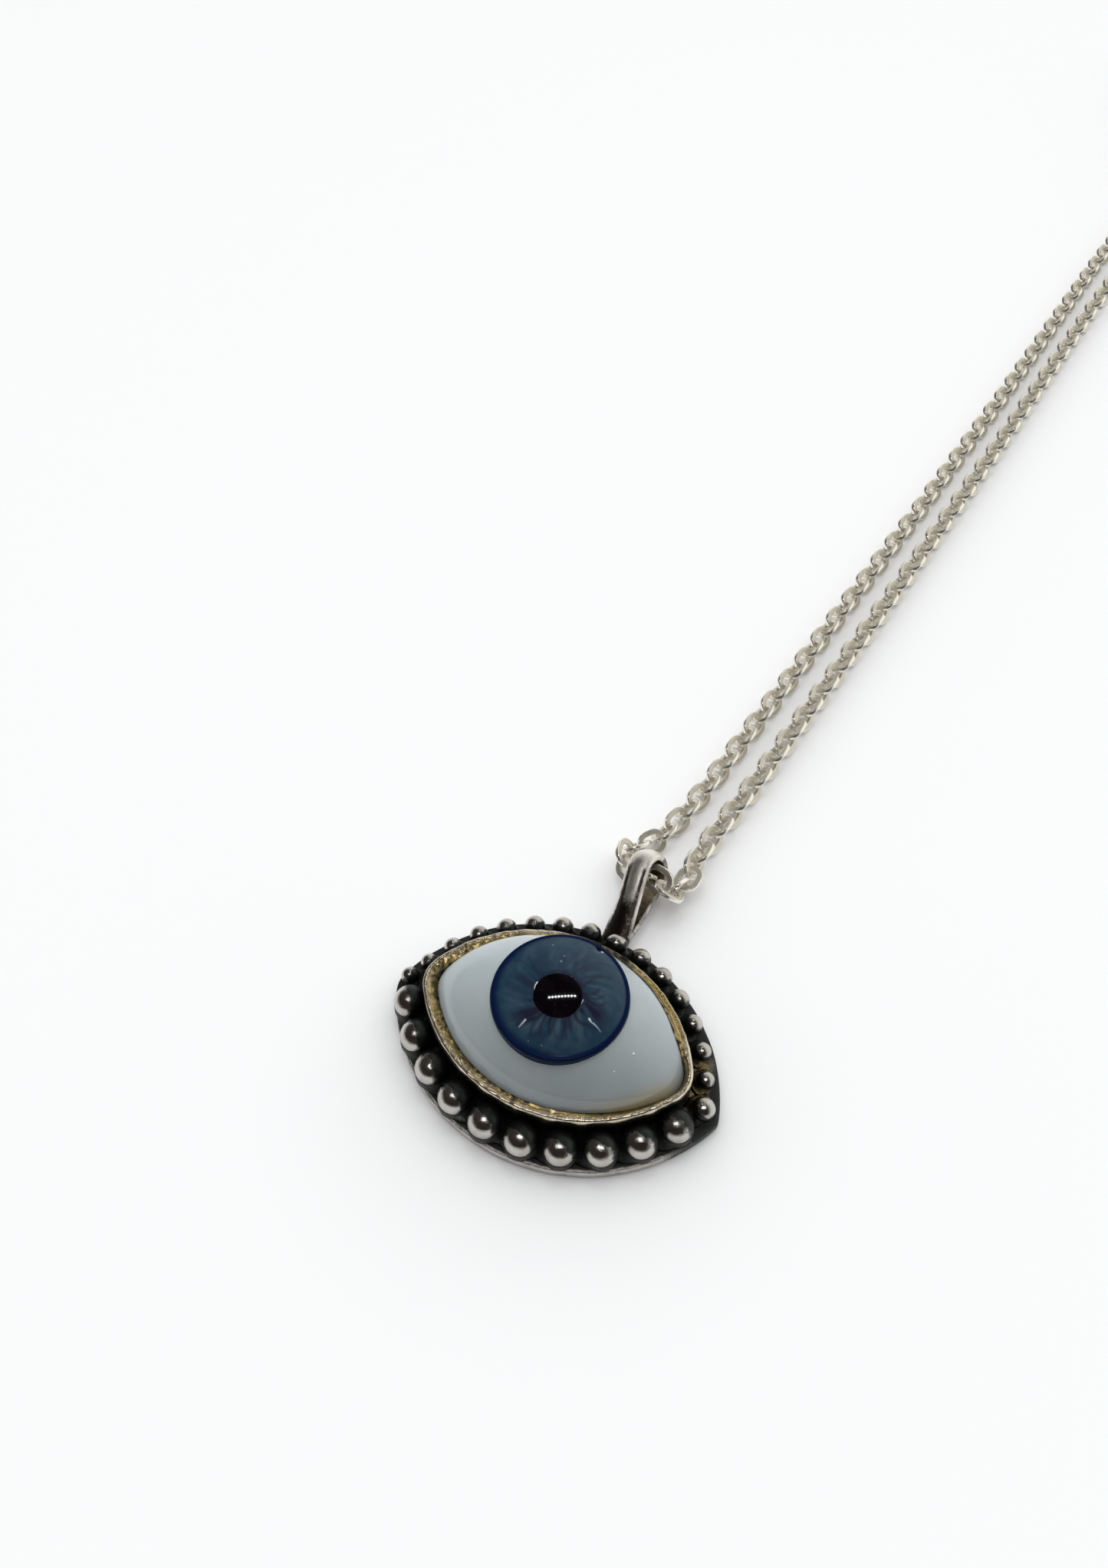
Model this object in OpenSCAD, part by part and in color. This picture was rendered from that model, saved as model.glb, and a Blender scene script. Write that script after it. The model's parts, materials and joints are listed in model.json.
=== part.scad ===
// Necklace with a glass eye in a granulated silver setting, laid on a table.
// The origin is on the table under the middle of the bezel, +Y points to the bail, +Z is up.

/* [Plate] */
// Half of the eye-shaped plate's length, measured to where the lids would cross
plate_half_l = 14.9; // [14.5:0.1:16]
// Depth of the lower lid below the corners
plate_lower = 9.9; // [9.5:0.1:11]
// Height of the upper lid above the corners
plate_upper = 11.8; // [11.6:0.1:12.1]
// Height of the two corners above the middle of the plate, below it if negative
corner_y = -1.2; // [-1.5:0.1:-0.8]
// Distance of the plate from the middle of the bezel, to the right
plate_x = 0.15; // [0:0.05:0.2]
// Thickness of the plate
plate_t = 1; // [0.9:0.05:1.2]
// Radius of the blunt left corner
blunt_r = 2.4; // [1.5:0.1:3]
// Radius of the sharper right corner
sharp_r = 0.9; // [0.5:0.1:1.5]

/* [Bezel] */
// Half of the bezel's length, measured to where its lids would cross
bezel_half_l = 12.4; // [12.2:0.1:12.8]
// Depth of the bezel's lower lid below its corners
bezel_lower = 7.6; // [7.4:0.1:7.9]
// Height of the bezel's upper lid above its corners
bezel_upper = 8.8; // [8.5:0.1:9]
// Height of the bezel's corners above the middle of the plate
bezel_corner_y = -0.6; // [-0.8:0.1:-0.4]
// Radius of the bezel's corners
bezel_tip_r = 3; // [2.5:0.1:3.5]
// Thickness of the bezel's wall
bezel_wall = 0.55; // [0.5:0.05:0.7]
// Height of the bezel's lip above the table
bezel_top = 4.2; // [4:0.05:4.4]

/* [Glass eye] */
// Girth radius of the white glass at its middle
glass_r = 8.4; // [8.3:0.05:8.6]
// Radius of the arc that the white glass has along the eye
glass_arc_r = 14.2; // [13.8:0.1:15]
// Height of the long axis of the white glass above the table
glass_axis_z = 0.4; // [0.3:0.05:0.5]
// Diameter of the iris
iris_d = 11.2; // [10.5:0.1:11.4]
// Distance of the iris from the middle of the plate, to the right
iris_x = 0.1; // [-0.2:0.1:0.4]
// Distance of the iris above the middle of the plate
iris_y = 0.4; // [0:0.1:0.6]
// Height of the level rim of the iris above the table
iris_rim_z = 7.9; // [7.8:0.05:8.1]
// Radius of the shallow dome on the iris
iris_dome_r = 20; // [18:1:30]
// Height of the floor of the seat for the iris in the white glass
seat_z = 6.2; // [5.5:0.1:6.4]
// Diameter of the pupil
pupil_d = 3.8; // [3:0.1:5]
// Height that the pupil stands above the iris
pupil_rise = 0.1; // [0:0.05:0.2]
// Gap that is kept between pieces that are set against each other
gap = 0.11; // [0.1:0.01:0.13]

/* [Granules] */
// Number of large granules along the lower lid
lower_count = 10; // [8:1:10]
// Diameter of the large granules
lower_d = 2.9; // [2.2:0.1:3]
// Number of small granules along the upper lid
upper_count = 14; // [10:1:15]
// Diameter of the small granules at the two ends of the upper lid
upper_end_d = 1.55; // [1.3:0.05:1.8]
// Diameter of the small granules in the middle of the upper lid
upper_mid_d = 1.95; // [1.6:0.05:2.1]
// Diameter of the granule in the left corner
left_d = 1.6; // [1.4:0.1:2]
// Diameter of the granule in the right corner
right_d = 2; // [1.6:0.1:2.2]

/* [Bail] */
// Distance of the bail's foot from the middle of the plate, to the right
bail_x = 1.3; // [1:0.1:1.6]
// Height of the bail's foot above the middle of the plate
bail_y = 11.1; // [11:0.1:11.2]
// Angle that the bail turns to the right
bail_turn = 4; // [0:1:6]
// Angle that the bail tilts to the left
bail_tilt = 23; // [15:1:25]
// Distance from the bail's foot to the middle of its eye
bail_reach = 6; // [5.8:0.1:6.2]
// Outer radius of the bail's round end
bail_r = 2.3; // [2.3:0.05:2.4]
// Thickness of the bail's band at its middle
bail_t = 0.9; // [0.8:0.05:0.9]
// Thickness of the bail's band at its edges
bail_edge_t = 0.55; // [0.4:0.05:0.7]
// Width of the bail's band
bail_w = 2.2; // [1.8:0.1:2.3]

/* [Chain] */
// Outer length of a link
link_l = 3.1; // [3.05:0.01:3.2]
// Outer width of a link
link_w = 2.45; // [2.4:0.01:2.5]
// Width of the flat band that a link is made of
link_band = 0.56; // [0.5:0.01:0.56]
// Thickness of the flat band
link_t = 0.38; // [0.3:0.01:0.38]
// Number of links in the left strand while the strands lie side by side
left_count = 72; // [72:2:74]
// Number of links in the right strand while the strands lie side by side
right_count = 73; // [73:2:75]
// Direction of the two strands, to the right of +Y
strand_angle = 8.3; // [6:0.1:10]
// Distance from the bail at which the two strands begin to open out
side_by_side = 137.5; // [137:0.1:137.7]

/* [Back of the neck] */
// Number of links in each half of the loop that goes round the neck
neck_count = 42; // [42:2:44]
// Half of the distance between the two strands where they open out
open_half_gap = 1.7; // [1.5:0.1:2]
// Angle at which the strands open out
open_angle = 20; // [19:0.5:21]
// Radius of the bend where they open out
open_r = 40; // [36:1:44]
// Radius of the two bends that close the loop
close_r = 12.5; // [12:0.1:13]
// Outer diameter of the clasp's ring
clasp_d = 6.5; // [6:0.1:7]
// Diameter of the clasp's wire
clasp_wire = 0.9; // [0.8:0.05:0.95]
// Outer diameter of the small loop on the clasp
loop_d = 3.2; // [3:0.1:3.4]
// Diameter of the small loop's wire
loop_wire = 0.8; // [0.7:0.05:0.8]

/* [Hidden] */
$fn = 48;
silver = [0.80, 0.79, 0.76];
dark_silver = [0.34, 0.33, 0.32];

// Columns of an outline: half length, lower depth, upper height, corner height, left radius, right radius
plate_form = [plate_half_l, plate_lower, plate_upper, corner_y, blunt_r, sharp_r];
bezel_form = [bezel_half_l, bezel_lower, bezel_upper, bezel_corner_y, bezel_tip_r, bezel_tip_r];

// Radius and centre height of the arc that a lid follows, from its half length and its rise
function lid_r(half_l, rise) = (half_l * half_l + rise * rise) / (2 * rise);
function lower_cy(form) = form[3] - form[1] + lid_r(form[0], form[1]);
function upper_cy(form) = form[3] + form[2] - lid_r(form[0], form[2]);

// Centre of the round corner of radius r that touches both lids from inside
function tip_y(form, r) =
    let (low = lid_r(form[0], form[1]) - r, high = lid_r(form[0], form[2]) - r,
         low_cy = lower_cy(form), high_cy = upper_cy(form))
    (low * low - high * high - low_cy * low_cy + high_cy * high_cy) / (2 * (high_cy - low_cy));
function tip_x(form, r) =
    sqrt(pow(lid_r(form[0], form[1]) - r, 2) - pow(tip_y(form, r) - lower_cy(form), 2));

function arc(x, y, r, from, to, steps) =
    [for (i = [0:steps]) let (a = from + (to - from) * i / steps) [x + r * cos(a), y + r * sin(a)]];

// Closed outline of an eye, drawn a distance inset inside its form
function eye_outline(form, inset) =
    let (low_cy = lower_cy(form), high_cy = upper_cy(form),
         lx = tip_x(form, form[4]), ly = tip_y(form, form[4]),
         rx = tip_x(form, form[5]), ry = tip_y(form, form[5]),
         low_left = atan2(ly - low_cy, lx), low_right = atan2(ry - low_cy, rx),
         high_left = atan2(ly - high_cy, lx), high_right = atan2(ry - high_cy, rx))
    concat(
        arc(0, low_cy, lid_r(form[0], form[1]) - inset, -180 - low_left, low_right, 20),
        arc(rx, ry, form[5] - inset, low_right, high_right, 5),
        arc(0, high_cy, lid_r(form[0], form[2]) - inset, high_right, 180 - high_left, 20),
        arc(-lx, ly, form[4] - inset, 180 - high_left, 180 - low_left, 5));

module eye_prism(form, inset, from_z, to_z) {
    translate([0, 0, from_z])
        linear_extrude(height = to_z - from_z)
            polygon(eye_outline(form, inset));
}

// Body of the white glass, an arc turned about the eye's long axis, grown by a distance
module glass_form(grow) {
    arc_r = glass_arc_r + grow;
    translate([0, 0, glass_axis_z])
        rotate([0, 90, 0])
            rotate_extrude($fn = 96)
                intersection() {
                    translate([glass_r - glass_arc_r, 0])
                        circle(r = arc_r, $fn = 128);
                    translate([0, -arc_r])
                        square([arc_r, 2 * arc_r]);
                }
}

// Height above the whole eye, where the plain prisms and plugs that shape it end
above = 12;

module disc(d, from_z, to_z) {
    translate([0, 0, from_z])
        cylinder(d = d, h = to_z - from_z, $fn = 96);
}

// Granules sit in the plate by this share of their radius
granule_sink = 0.25;
// Distance of the middles of the lower granules inside the plate's edge
lower_inset = 1.5;
// Radius of the arc of the upper granules and the height of its centre
upper_arc_r = 13.9;
upper_arc_y = -4.05;

module granule(x, y, d) {
    translate([x, y, plate_t + d / 2 * (1 - granule_sink)])
        sphere(d = d, $fn = 32);
}

// First and last angle of a row of granules around its arc's centre
lower_row = [-147, -34.5];
upper_row = [23.5, 157.5];
// Granules in the corners. Columns: x, y, diameter
corner_granules = [[-13.7, -0.6, left_d], [13.5, -0.9, right_d]];

module granules() {
    low_r = lid_r(plate_half_l, plate_lower) - lower_inset;
    for (i = [0:lower_count - 1]) {
        a = lower_row[0] + (lower_row[1] - lower_row[0]) * i / (lower_count - 1);
        granule(low_r * cos(a), lower_cy(plate_form) + low_r * sin(a), lower_d);
    }
    for (i = [0:upper_count - 1]) {
        a = upper_row[0] + (upper_row[1] - upper_row[0]) * i / (upper_count - 1);
        d = upper_end_d + (upper_mid_d - upper_end_d) * sin(180 * i / (upper_count - 1));
        granule(upper_arc_r * cos(a), upper_arc_y + upper_arc_r * sin(a), d);
    }
    for (row = corner_granules)
        granule(row[0], row[1], row[2]);
}

// Half-round section of the bail's band, flat inside: x is its thickness, y its width
module bail_section(inset) {
    crown = bail_t - bail_edge_t;
    crown_r = (bail_w * bail_w / 4 + crown * crown) / (2 * crown);
    intersection() {
        translate([inset, inset - bail_w / 2])
            square([bail_t - 2 * inset, bail_w - 2 * inset]);
        translate([bail_t - crown_r, 0])
            circle(r = crown_r - inset, $fn = 64);
    }
}

// Length that each leg runs into the round end, and the step by which it is slimmer there
leg_overlap = 0.3;
leg_step = 0.03;

// Straight leg of the bail, its inside along the line, turned half round for the lower one
module bail_leg(from, to, turn) {
    along = (to - from) * (1 + leg_overlap / norm(to - from));
    translate([from[0], from[1], 0])
        rotate([0, 0, atan2(along[1], along[0])])
            rotate([90, 0, 90])
                linear_extrude(height = norm(along))
                    rotate([0, 0, turn])
                        bail_section(leg_step);
}

// Distance from the bail's foot to where the legs' inner sides meet, and how far each runs back
crotch_x = 0.4;
upper_foot = 2;
lower_foot = 1.6;

// Loop of the bail lying flat: x runs away from the plate, y runs up, z is the band's width
module bail_loop() {
    eye = [bail_reach, bail_r];
    hole_r = bail_r - bail_t;
    crotch = [crotch_x, plate_t];
    along = eye - crotch;
    rise = atan2(along[1], along[0]);
    half = asin(hole_r / norm(along));
    upper = eye + hole_r * [cos(rise + 90 + half), sin(rise + 90 + half)];
    lower = eye + hole_r * [cos(rise - 90 - half), sin(rise - 90 - half)];
    translate([eye[0], eye[1], 0])
        rotate([0, 0, rise - 90 - half])
            rotate_extrude(angle = 180 + 2 * half, $fn = 96)
                translate([hole_r, 0])
                    bail_section(0);
    bail_leg(crotch - upper_foot * [cos(rise + half), sin(rise + half)], upper, 0);
    bail_leg(crotch - lower_foot * [cos(rise - half), sin(rise - half)], lower, 180);
}

module bail() {
    lift = bail_w / 2 * sin(bail_tilt);
    translate([bail_x, bail_y, lift])
        rotate([0, 0, -bail_turn])
            rotate([0, -bail_tilt, 0])
                rotate([90, 0, 90])
                    bail_loop();
}

module setting() {
    color(dark_silver) {
        difference() {
            union() {
                translate([plate_x, 0, 0])
                    eye_prism(plate_form, 0, 0, plate_t);
                eye_prism(bezel_form, 0, plate_t / 2, bezel_top);
            }
            intersection() {
                glass_form(gap);
                eye_prism(bezel_form, bezel_wall, plate_t, above);
            }
        }
        granules();
        bail();
    }
}

// Round plug of a diameter at the iris, from a height up to its shallow dome raised by some
module iris_plug(d, from_z, rise) {
    dome_z = iris_rim_z - sqrt(pow(iris_dome_r, 2) - pow(iris_d / 2, 2));
    translate([iris_x, iris_y, 0])
        intersection() {
            disc(d, from_z, above);
            translate([0, 0, dome_z])
                sphere(r = iris_dome_r + rise, $fn = 128);
        }
}

module eye_white() {
    color("aliceblue")
        difference() {
            intersection() {
                glass_form(0);
                eye_prism(bezel_form, bezel_wall + gap, plate_t + gap, above);
            }
            translate([iris_x, iris_y, 0])
                disc(iris_d + 2 * gap, seat_z, above);
        }
}

module iris() {
    color([0.17, 0.29, 0.40])
        difference() {
            iris_plug(iris_d, seat_z + gap, 0);
            translate([iris_x, iris_y, 0])
                disc(pupil_d + 2 * gap, 0, above);
        }
}

module pupil() {
    color([0.08, 0.03, 0.05])
        iris_plug(pupil_d, seat_z + gap, pupil_rise);
}

// Height of a link's middle when it rests on the table, rolled by an angle
function link_z(roll) = link_w / 2 * sin(roll) + link_t / 2 * cos(roll);
lean = 45;
rest_z = link_z(lean);

// Links around the bail, from the left strand to the right one. Columns: x, y, z, roll
bail_links = [
    [0.80, 24.80, rest_z, -lean],
    [0.25, 23.10, rest_z, lean],
    [-0.40, 21.50, rest_z, -35],
    [-1.50, 20.35, 1.25, 50],
    [-1.95, 18.90, 1.80, -45],
    [-1.05, 17.50, 1.75, 40],
    [0.35, 17.20, 2.35, -60],
    [1.95, 16.95, 2.80, 40],
    [3.35, 16.40, 2.45, -25],
    [3.90, 17.60, 1.40, 95],
    [4.20, 19.15, 1.20, -15],
    [4.05, 20.80, 1.17, 55],
    [4.22, 22.40, 1.02, -lean],
];
// Number of those that belong to the left half of the chain
left_bail_links = 7;

// Start of the middle line between the strands, and the place of each strand's first link along it
strand_start = [2.1, 18.5];
left_start = 7.82;
right_start = 5.93;

// Side by side strands. Columns: distance along the middle line, distance of the strand from it
left_rows = [[6, 2.1], [11, 1.85], [20, 1.73], [35, 1.55], [60, 1.25], [85, 1.3], [105, 1.6], [122, 1.85],
             [side_by_side, open_half_gap]];
right_rows = [[6, 1.54], [8, 1.6], [15, 1.85], [40, 2.05], [65, 2.05], [82, 1.9], [95, 1.7], [110, 1.5],
              [side_by_side, open_half_gap]];

// Length of the clasp between the middles of the two links that it joins
link_gap = 0.16;
loop_reach = link_l / 2 - link_band - loop_wire / 2 - link_gap;
ring_reach = link_l / 2 - link_band - clasp_wire / 2 - link_gap;
loop_r = (loop_d - loop_wire) / 2;
ring_r = (clasp_d - clasp_wire) / 2;
clasp_l = loop_reach + 2 * loop_r + 2 * ring_r + ring_reach;

// Hidden half of the loop. Columns: length, turn away from the middle line
straight_run = (clasp_l / 2 + close_r * cos(open_angle) - open_half_gap - open_r * (1 - cos(open_angle)))
    / sin(open_angle);
neck_rows = [
    [open_r * open_angle * PI / 180, open_angle],
    [straight_run, 0],
    [close_r * (90 + open_angle) * PI / 180, -90 - open_angle],
    [link_l, 0],
];
strand_end = side_by_side + neck_rows[0][0] + neck_rows[1][0] + neck_rows[2][0];

// Pose after a run that turns evenly. A pose is the distance out, the distance along and a heading
function advance(pose, run, turn) =
    turn == 0
        ? [pose[0] + run * sin(pose[2]), pose[1] + run * cos(pose[2]), pose[2]]
        : let (r = run * 180 / (PI * turn))
          [pose[0] + r * (cos(pose[2]) - cos(pose[2] + turn)),
           pose[1] + r * (sin(pose[2] + turn) - sin(pose[2])), pose[2] + turn];

function walk(pose, run, row) =
    run <= neck_rows[row][0] || row == len(neck_rows) - 1
        ? advance(pose, run, neck_rows[row][1] * run / neck_rows[row][0])
        : walk(advance(pose, neck_rows[row][0], neck_rows[row][1]), run - neck_rows[row][0], row + 1);

// Distance out and along of a strand, side -1 left and 1 right, after some length of chain
function strand_at(side, run) =
    run <= side_by_side
        ? [lookup(run, side < 0 ? left_rows : right_rows), run]
        : walk([open_half_gap, side_by_side, 0], run - side_by_side, 0);

// Point on the table from a distance to the right of the middle line and a distance along it
function on_table(out, along) = strand_start
    + along * [sin(strand_angle), cos(strand_angle)] + out * [cos(strand_angle), -sin(strand_angle)];

// Links that twist upright, the way that the clasp holds them, and those that stand upright
twist_links = 20;
upright_links = 14;

// Link i of a strand, counted from the bail
function strand_link(side, i) =
    let (count = side < 0 ? left_count : right_count,
         start = side < 0 ? left_start : right_start,
         run = i <= count
             ? start + i * (side_by_side - start) / count
             : side_by_side + (i - count) * (strand_end - side_by_side) / neck_count,
         at = strand_at(side, run),
         xy = on_table(side * at[0], at[1]),
         share = (twist_links + upright_links - (count + neck_count - i)) / twist_links,
         twist = (90 - lean) * max(0, min(1, share)))
    [xy[0], xy[1], link_z(lean + twist), (i % 2 == 0 ? lean : -lean) - side * twist];

// The whole chain, with a place at each end for the clasp
chain_links = concat(
    [for (i = [left_count + neck_count + 1:-1:0]) strand_link(-1, i)],
    bail_links,
    [for (i = [0:right_count + neck_count + 1]) strand_link(1, i)]);
half_way = left_count + neck_count + 1 + left_bail_links;

module stadium(straight, w) {
    square([straight, w], center = true);
    for (side = [-1, 1])
        translate([side * straight / 2, 0])
            circle(d = w, $fn = 32);
}

module link() {
    linear_extrude(height = link_t, center = true)
        difference() {
            stadium(link_l - link_w, link_w);
            stadium(link_l - link_w, link_w - 2 * link_band);
        }
}

module place_link(before, at, after) {
    along = [for (k = [0:2]) after[k] - before[k]];
    translate([at[0], at[1], at[2]])
        rotate([0, 0, atan2(along[1], along[0])])
            rotate([0, -atan2(along[2], norm([along[0], along[1]])), 0])
                rotate([at[3], 0, 0])
                    link();
}

module chain(first, last) {
    color(silver)
        for (i = [first:last])
            place_link(chain_links[i - 1], chain_links[i], chain_links[i + 1]);
}

module chain_left() {
    chain(1, half_way);
}

module chain_right() {
    chain(half_way + 1, len(chain_links) - 2);
}

module wire_ring(x, r, wire) {
    translate([x, 0, 0])
        rotate_extrude($fn = 64)
            translate([r, 0])
                circle(d = wire, $fn = 24);
}

module clasp() {
    end = strand_at(1, strand_end);
    at = on_table(-end[0], end[1]);
    color(silver)
        translate([at[0], at[1], link_z(90)])
            rotate([0, 0, -strand_angle]) {
                wire_ring(loop_reach + loop_r, loop_r, loop_wire);
                wire_ring(loop_reach + 2 * loop_r + ring_r, ring_r, clasp_wire);
            }
}

setting();
eye_white();
iris();
pupil();
chain_left();
chain_right();
clasp();
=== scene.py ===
import json
import math

import bmesh
import bpy
import numpy as np
from mathutils import Matrix, Vector, noise

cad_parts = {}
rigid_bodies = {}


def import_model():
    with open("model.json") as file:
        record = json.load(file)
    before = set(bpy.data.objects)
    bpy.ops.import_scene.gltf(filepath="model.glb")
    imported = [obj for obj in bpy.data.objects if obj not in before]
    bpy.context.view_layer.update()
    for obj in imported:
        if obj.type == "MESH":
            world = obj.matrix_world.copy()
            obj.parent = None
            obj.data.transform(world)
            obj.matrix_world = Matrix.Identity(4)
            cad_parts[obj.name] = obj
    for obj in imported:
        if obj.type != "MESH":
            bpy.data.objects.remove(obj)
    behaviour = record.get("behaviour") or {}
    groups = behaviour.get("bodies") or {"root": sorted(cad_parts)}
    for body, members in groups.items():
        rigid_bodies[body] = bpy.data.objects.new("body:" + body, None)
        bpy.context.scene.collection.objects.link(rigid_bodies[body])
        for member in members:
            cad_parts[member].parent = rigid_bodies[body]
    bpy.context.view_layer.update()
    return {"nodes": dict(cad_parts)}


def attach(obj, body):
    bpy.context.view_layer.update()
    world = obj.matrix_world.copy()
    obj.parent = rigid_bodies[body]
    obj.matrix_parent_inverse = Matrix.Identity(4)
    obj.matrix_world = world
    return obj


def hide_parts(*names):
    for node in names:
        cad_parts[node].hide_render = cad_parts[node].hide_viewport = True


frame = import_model()

# ---------------------------------------------------------------- The plate
# One millimetre sheet silver, sawn out in the shape of an open eye. It is blackened all over
# after soldering and then rubbed back, so its edge shows worn metal. Sizes here and below are
# in millimetres, and a mesh is scaled to metres when it is made.
MM = 0.001
# Half its width, the rise of each lid, the height of its corners and their radii
PLATE = {
    "half": 14.9, "lower": 9.9, "upper": 11.8, "corner_y": -1.2, "left_r": 2.4, "right_r": 0.9}
PLATE_T, PLATE_X, PLATE_AROUND = 1.0, 0.15, 480
# The plate's skin from the middle of its back, over its edge, to under the bezel.
# Columns: distance inside the outline, height, wear
PLATE_PROFILE = [
    (9.0, 0.0, 0.45), (6.0, 0.0, 0.45), (3.5, 0.0, 0.45), (2.0, 0.0, 0.5), (1.0, 0.0, 0.55),
    (0.4, 0.0, 0.6), (0.14, 0.0, 0.8), (0.05, 0.05, 0.95), (0.0, 0.16, 0.9), (0.0, 0.45, 0.8),
    (0.0, 0.75, 0.85), (0.03, 0.9, 1.0), (0.1, 0.975, 1.0), (0.2, 1.0, 0.7), (0.4, 1.0, 0.25),
    (0.7, 1.0, 0.05), (1.1, 1.0, 0.0), (1.6, 1.0, 0.0), (2.1, 1.0, 0.0), (2.7, 1.0, 0.0),
    (3.4, 1.0, 0.0),
]
SAW_MARK, FACE_DINT = 0.035, 0.05
# The top face starts this far inside the outline, and further in both faces draw towards the
# middle, so that the sharp corner doesn't cross over itself
TOP_FROM, DRAWN_FROM, DRAWN_SPAN = 0.3, 0.4, 11.5
# The rim is rubbed bright along the lower lid, in patches, and less at the right tip
LOWER_LID_Y, RIGHT_TIP_X = (-1.0, -8.0), (11.5, 14.0)
RIM_WEAR, LOWER_RIM_WEAR, PATCHY, TOP_BLACK = 0.2, 0.75, 0.45, 0.2
# Golden crust by the right corner: its middle, how it is drawn out, its wear and its gold
CRUST_AT, CRUST_DRAWN = np.array([12.2, 1.0]), np.array([1.0, 0.4])
CRUST_WEAR, CRUST_GOLD = 0.75, 1.1
# Grain of worn silver, coarse to fine: patches of black, brown stains, the ragged edge of wear
PATCH_MM, STAIN_MM, RAGGED_MM = 0.7, 1.3, 0.16
STAIN_DARK, STAIN_TINT = 0.55, (1.0, 0.9, 0.82)
SEED_STEP = 17.3
# The colour sockets of a mix node, which have no names of their own
MIX_A, MIX_B, MIX_OUT = 6, 7, 2


def lid_radius(half, rise):
    """Radius of the arc that a lid follows."""
    return (half * half + rise * rise) / (2 * rise)


def eye_stations(form, count):
    """Places evenly spaced along an eye's outline: arc centre, arc radius, outward direction."""
    low_r = lid_radius(form["half"], form["lower"])
    high_r = lid_radius(form["half"], form["upper"])
    low_cy = form["corner_y"] - form["lower"] + low_r
    high_cy = form["corner_y"] + form["upper"] - high_r

    def tip(r):
        low, high = low_r - r, high_r - r
        y = (low**2 - high**2 - low_cy**2 + high_cy**2) / (2 * (high_cy - low_cy))
        return math.sqrt(low**2 - (y - low_cy) ** 2), y

    lx, ly = tip(form["left_r"])
    rx, ry = tip(form["right_r"])
    low_left, low_right = math.atan2(ly - low_cy, lx), math.atan2(ry - low_cy, rx)
    high_left, high_right = math.atan2(ly - high_cy, lx), math.atan2(ry - high_cy, rx)
    arcs = [
        (0, low_cy, low_r, -math.pi - low_left, low_right),
        (rx, ry, form["right_r"], low_right, high_right),
        (0, high_cy, high_r, high_right, math.pi - high_left),
        (-lx, ly, form["left_r"], math.pi - high_left, math.pi - low_left),
    ]
    lengths = [r * (b - a) for _, _, r, a, b in arcs]
    ends = np.cumsum(lengths)
    centre, radius, out = [], [], []
    for s in np.arange(count) * ends[-1] / count:
        k = int(np.searchsorted(ends, s, side="right"))
        cx, cy, r, a, b = arcs[k]
        t = a + (b - a) * (s - ends[k] + lengths[k]) / lengths[k]
        centre.append((cx, cy))
        radius.append(r)
        out.append((math.cos(t), math.sin(t)))
    return np.array(centre), np.array(radius), np.array(out)


def outline(stations, inset):
    """Points of an eye's outline, drawn a distance inside it."""
    centre, radius, out = stations
    return centre + (radius - inset)[:, None] * out


def ring_at(xy, z):
    """Flat points, stood at a height."""
    return np.column_stack([xy, np.broadcast_to(z, len(xy))])


def grain(points, size, seed):
    """Smooth noise between -1 and 1 at each point, with bumps of about that size."""
    flat = np.asarray(points, float).reshape(-1, 3) / size + seed * SEED_STEP
    values = [noise.noise(Vector(p)) for p in flat]
    return np.array(values).reshape(np.shape(points)[:-1])


def ease(a, b, x):
    """0 before a, 1 after b, and a smooth change between them."""
    t = np.clip((np.asarray(x, float) - a) / (b - a), 0, 1)
    return t * t * (3 - 2 * t)


def from_crust(ring):
    """Distance of each point from the middle of the golden crust."""
    return np.hypot(*((ring[:, :2] - CRUST_AT) * CRUST_DRAWN).T)


def rings_faces(rings, around, closed_loop=False, pieces=1):
    """Quads between rings of points that follow each other, with a cap at each open end."""
    faces = []
    for first in range(0, pieces * rings * around, rings * around):
        for i in range(rings if closed_loop else rings - 1):
            a, b = first + i * around, first + (i + 1) % rings * around
            faces += [
                (a + k, a + (k + 1) % around, b + (k + 1) % around, b + k) for k in range(around)]
        if not closed_loop:
            faces.append(tuple(range(first, first + around)))
            faces.append(tuple(range(first + (rings - 1) * around, first + rings * around)))
    return faces


def mesh_piece(name, points, faces, paint, material, replaced):
    """A solid piece of the necklace, with its painted values, that rides with the setting."""
    mesh = bpy.data.meshes.new(name)
    mesh.from_pydata((np.asarray(points, float) * MM).tolist(), [], faces)
    for layer, values in paint.items():
        mesh.attributes.new(layer, "FLOAT", "POINT").data.foreach_set(
            "value", np.asarray(values, np.float32).ravel())
    outward = bmesh.new()
    outward.from_mesh(mesh)
    bmesh.ops.recalc_face_normals(outward, faces=outward.faces)
    outward.to_mesh(mesh)
    outward.free()
    mesh.polygons.foreach_set("use_smooth", [True] * len(mesh.polygons))
    mesh.materials.append(material)
    piece = bpy.data.objects.new(name, mesh)
    bpy.context.scene.collection.objects.link(piece)
    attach(piece, "root")
    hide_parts(replaced)


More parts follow.
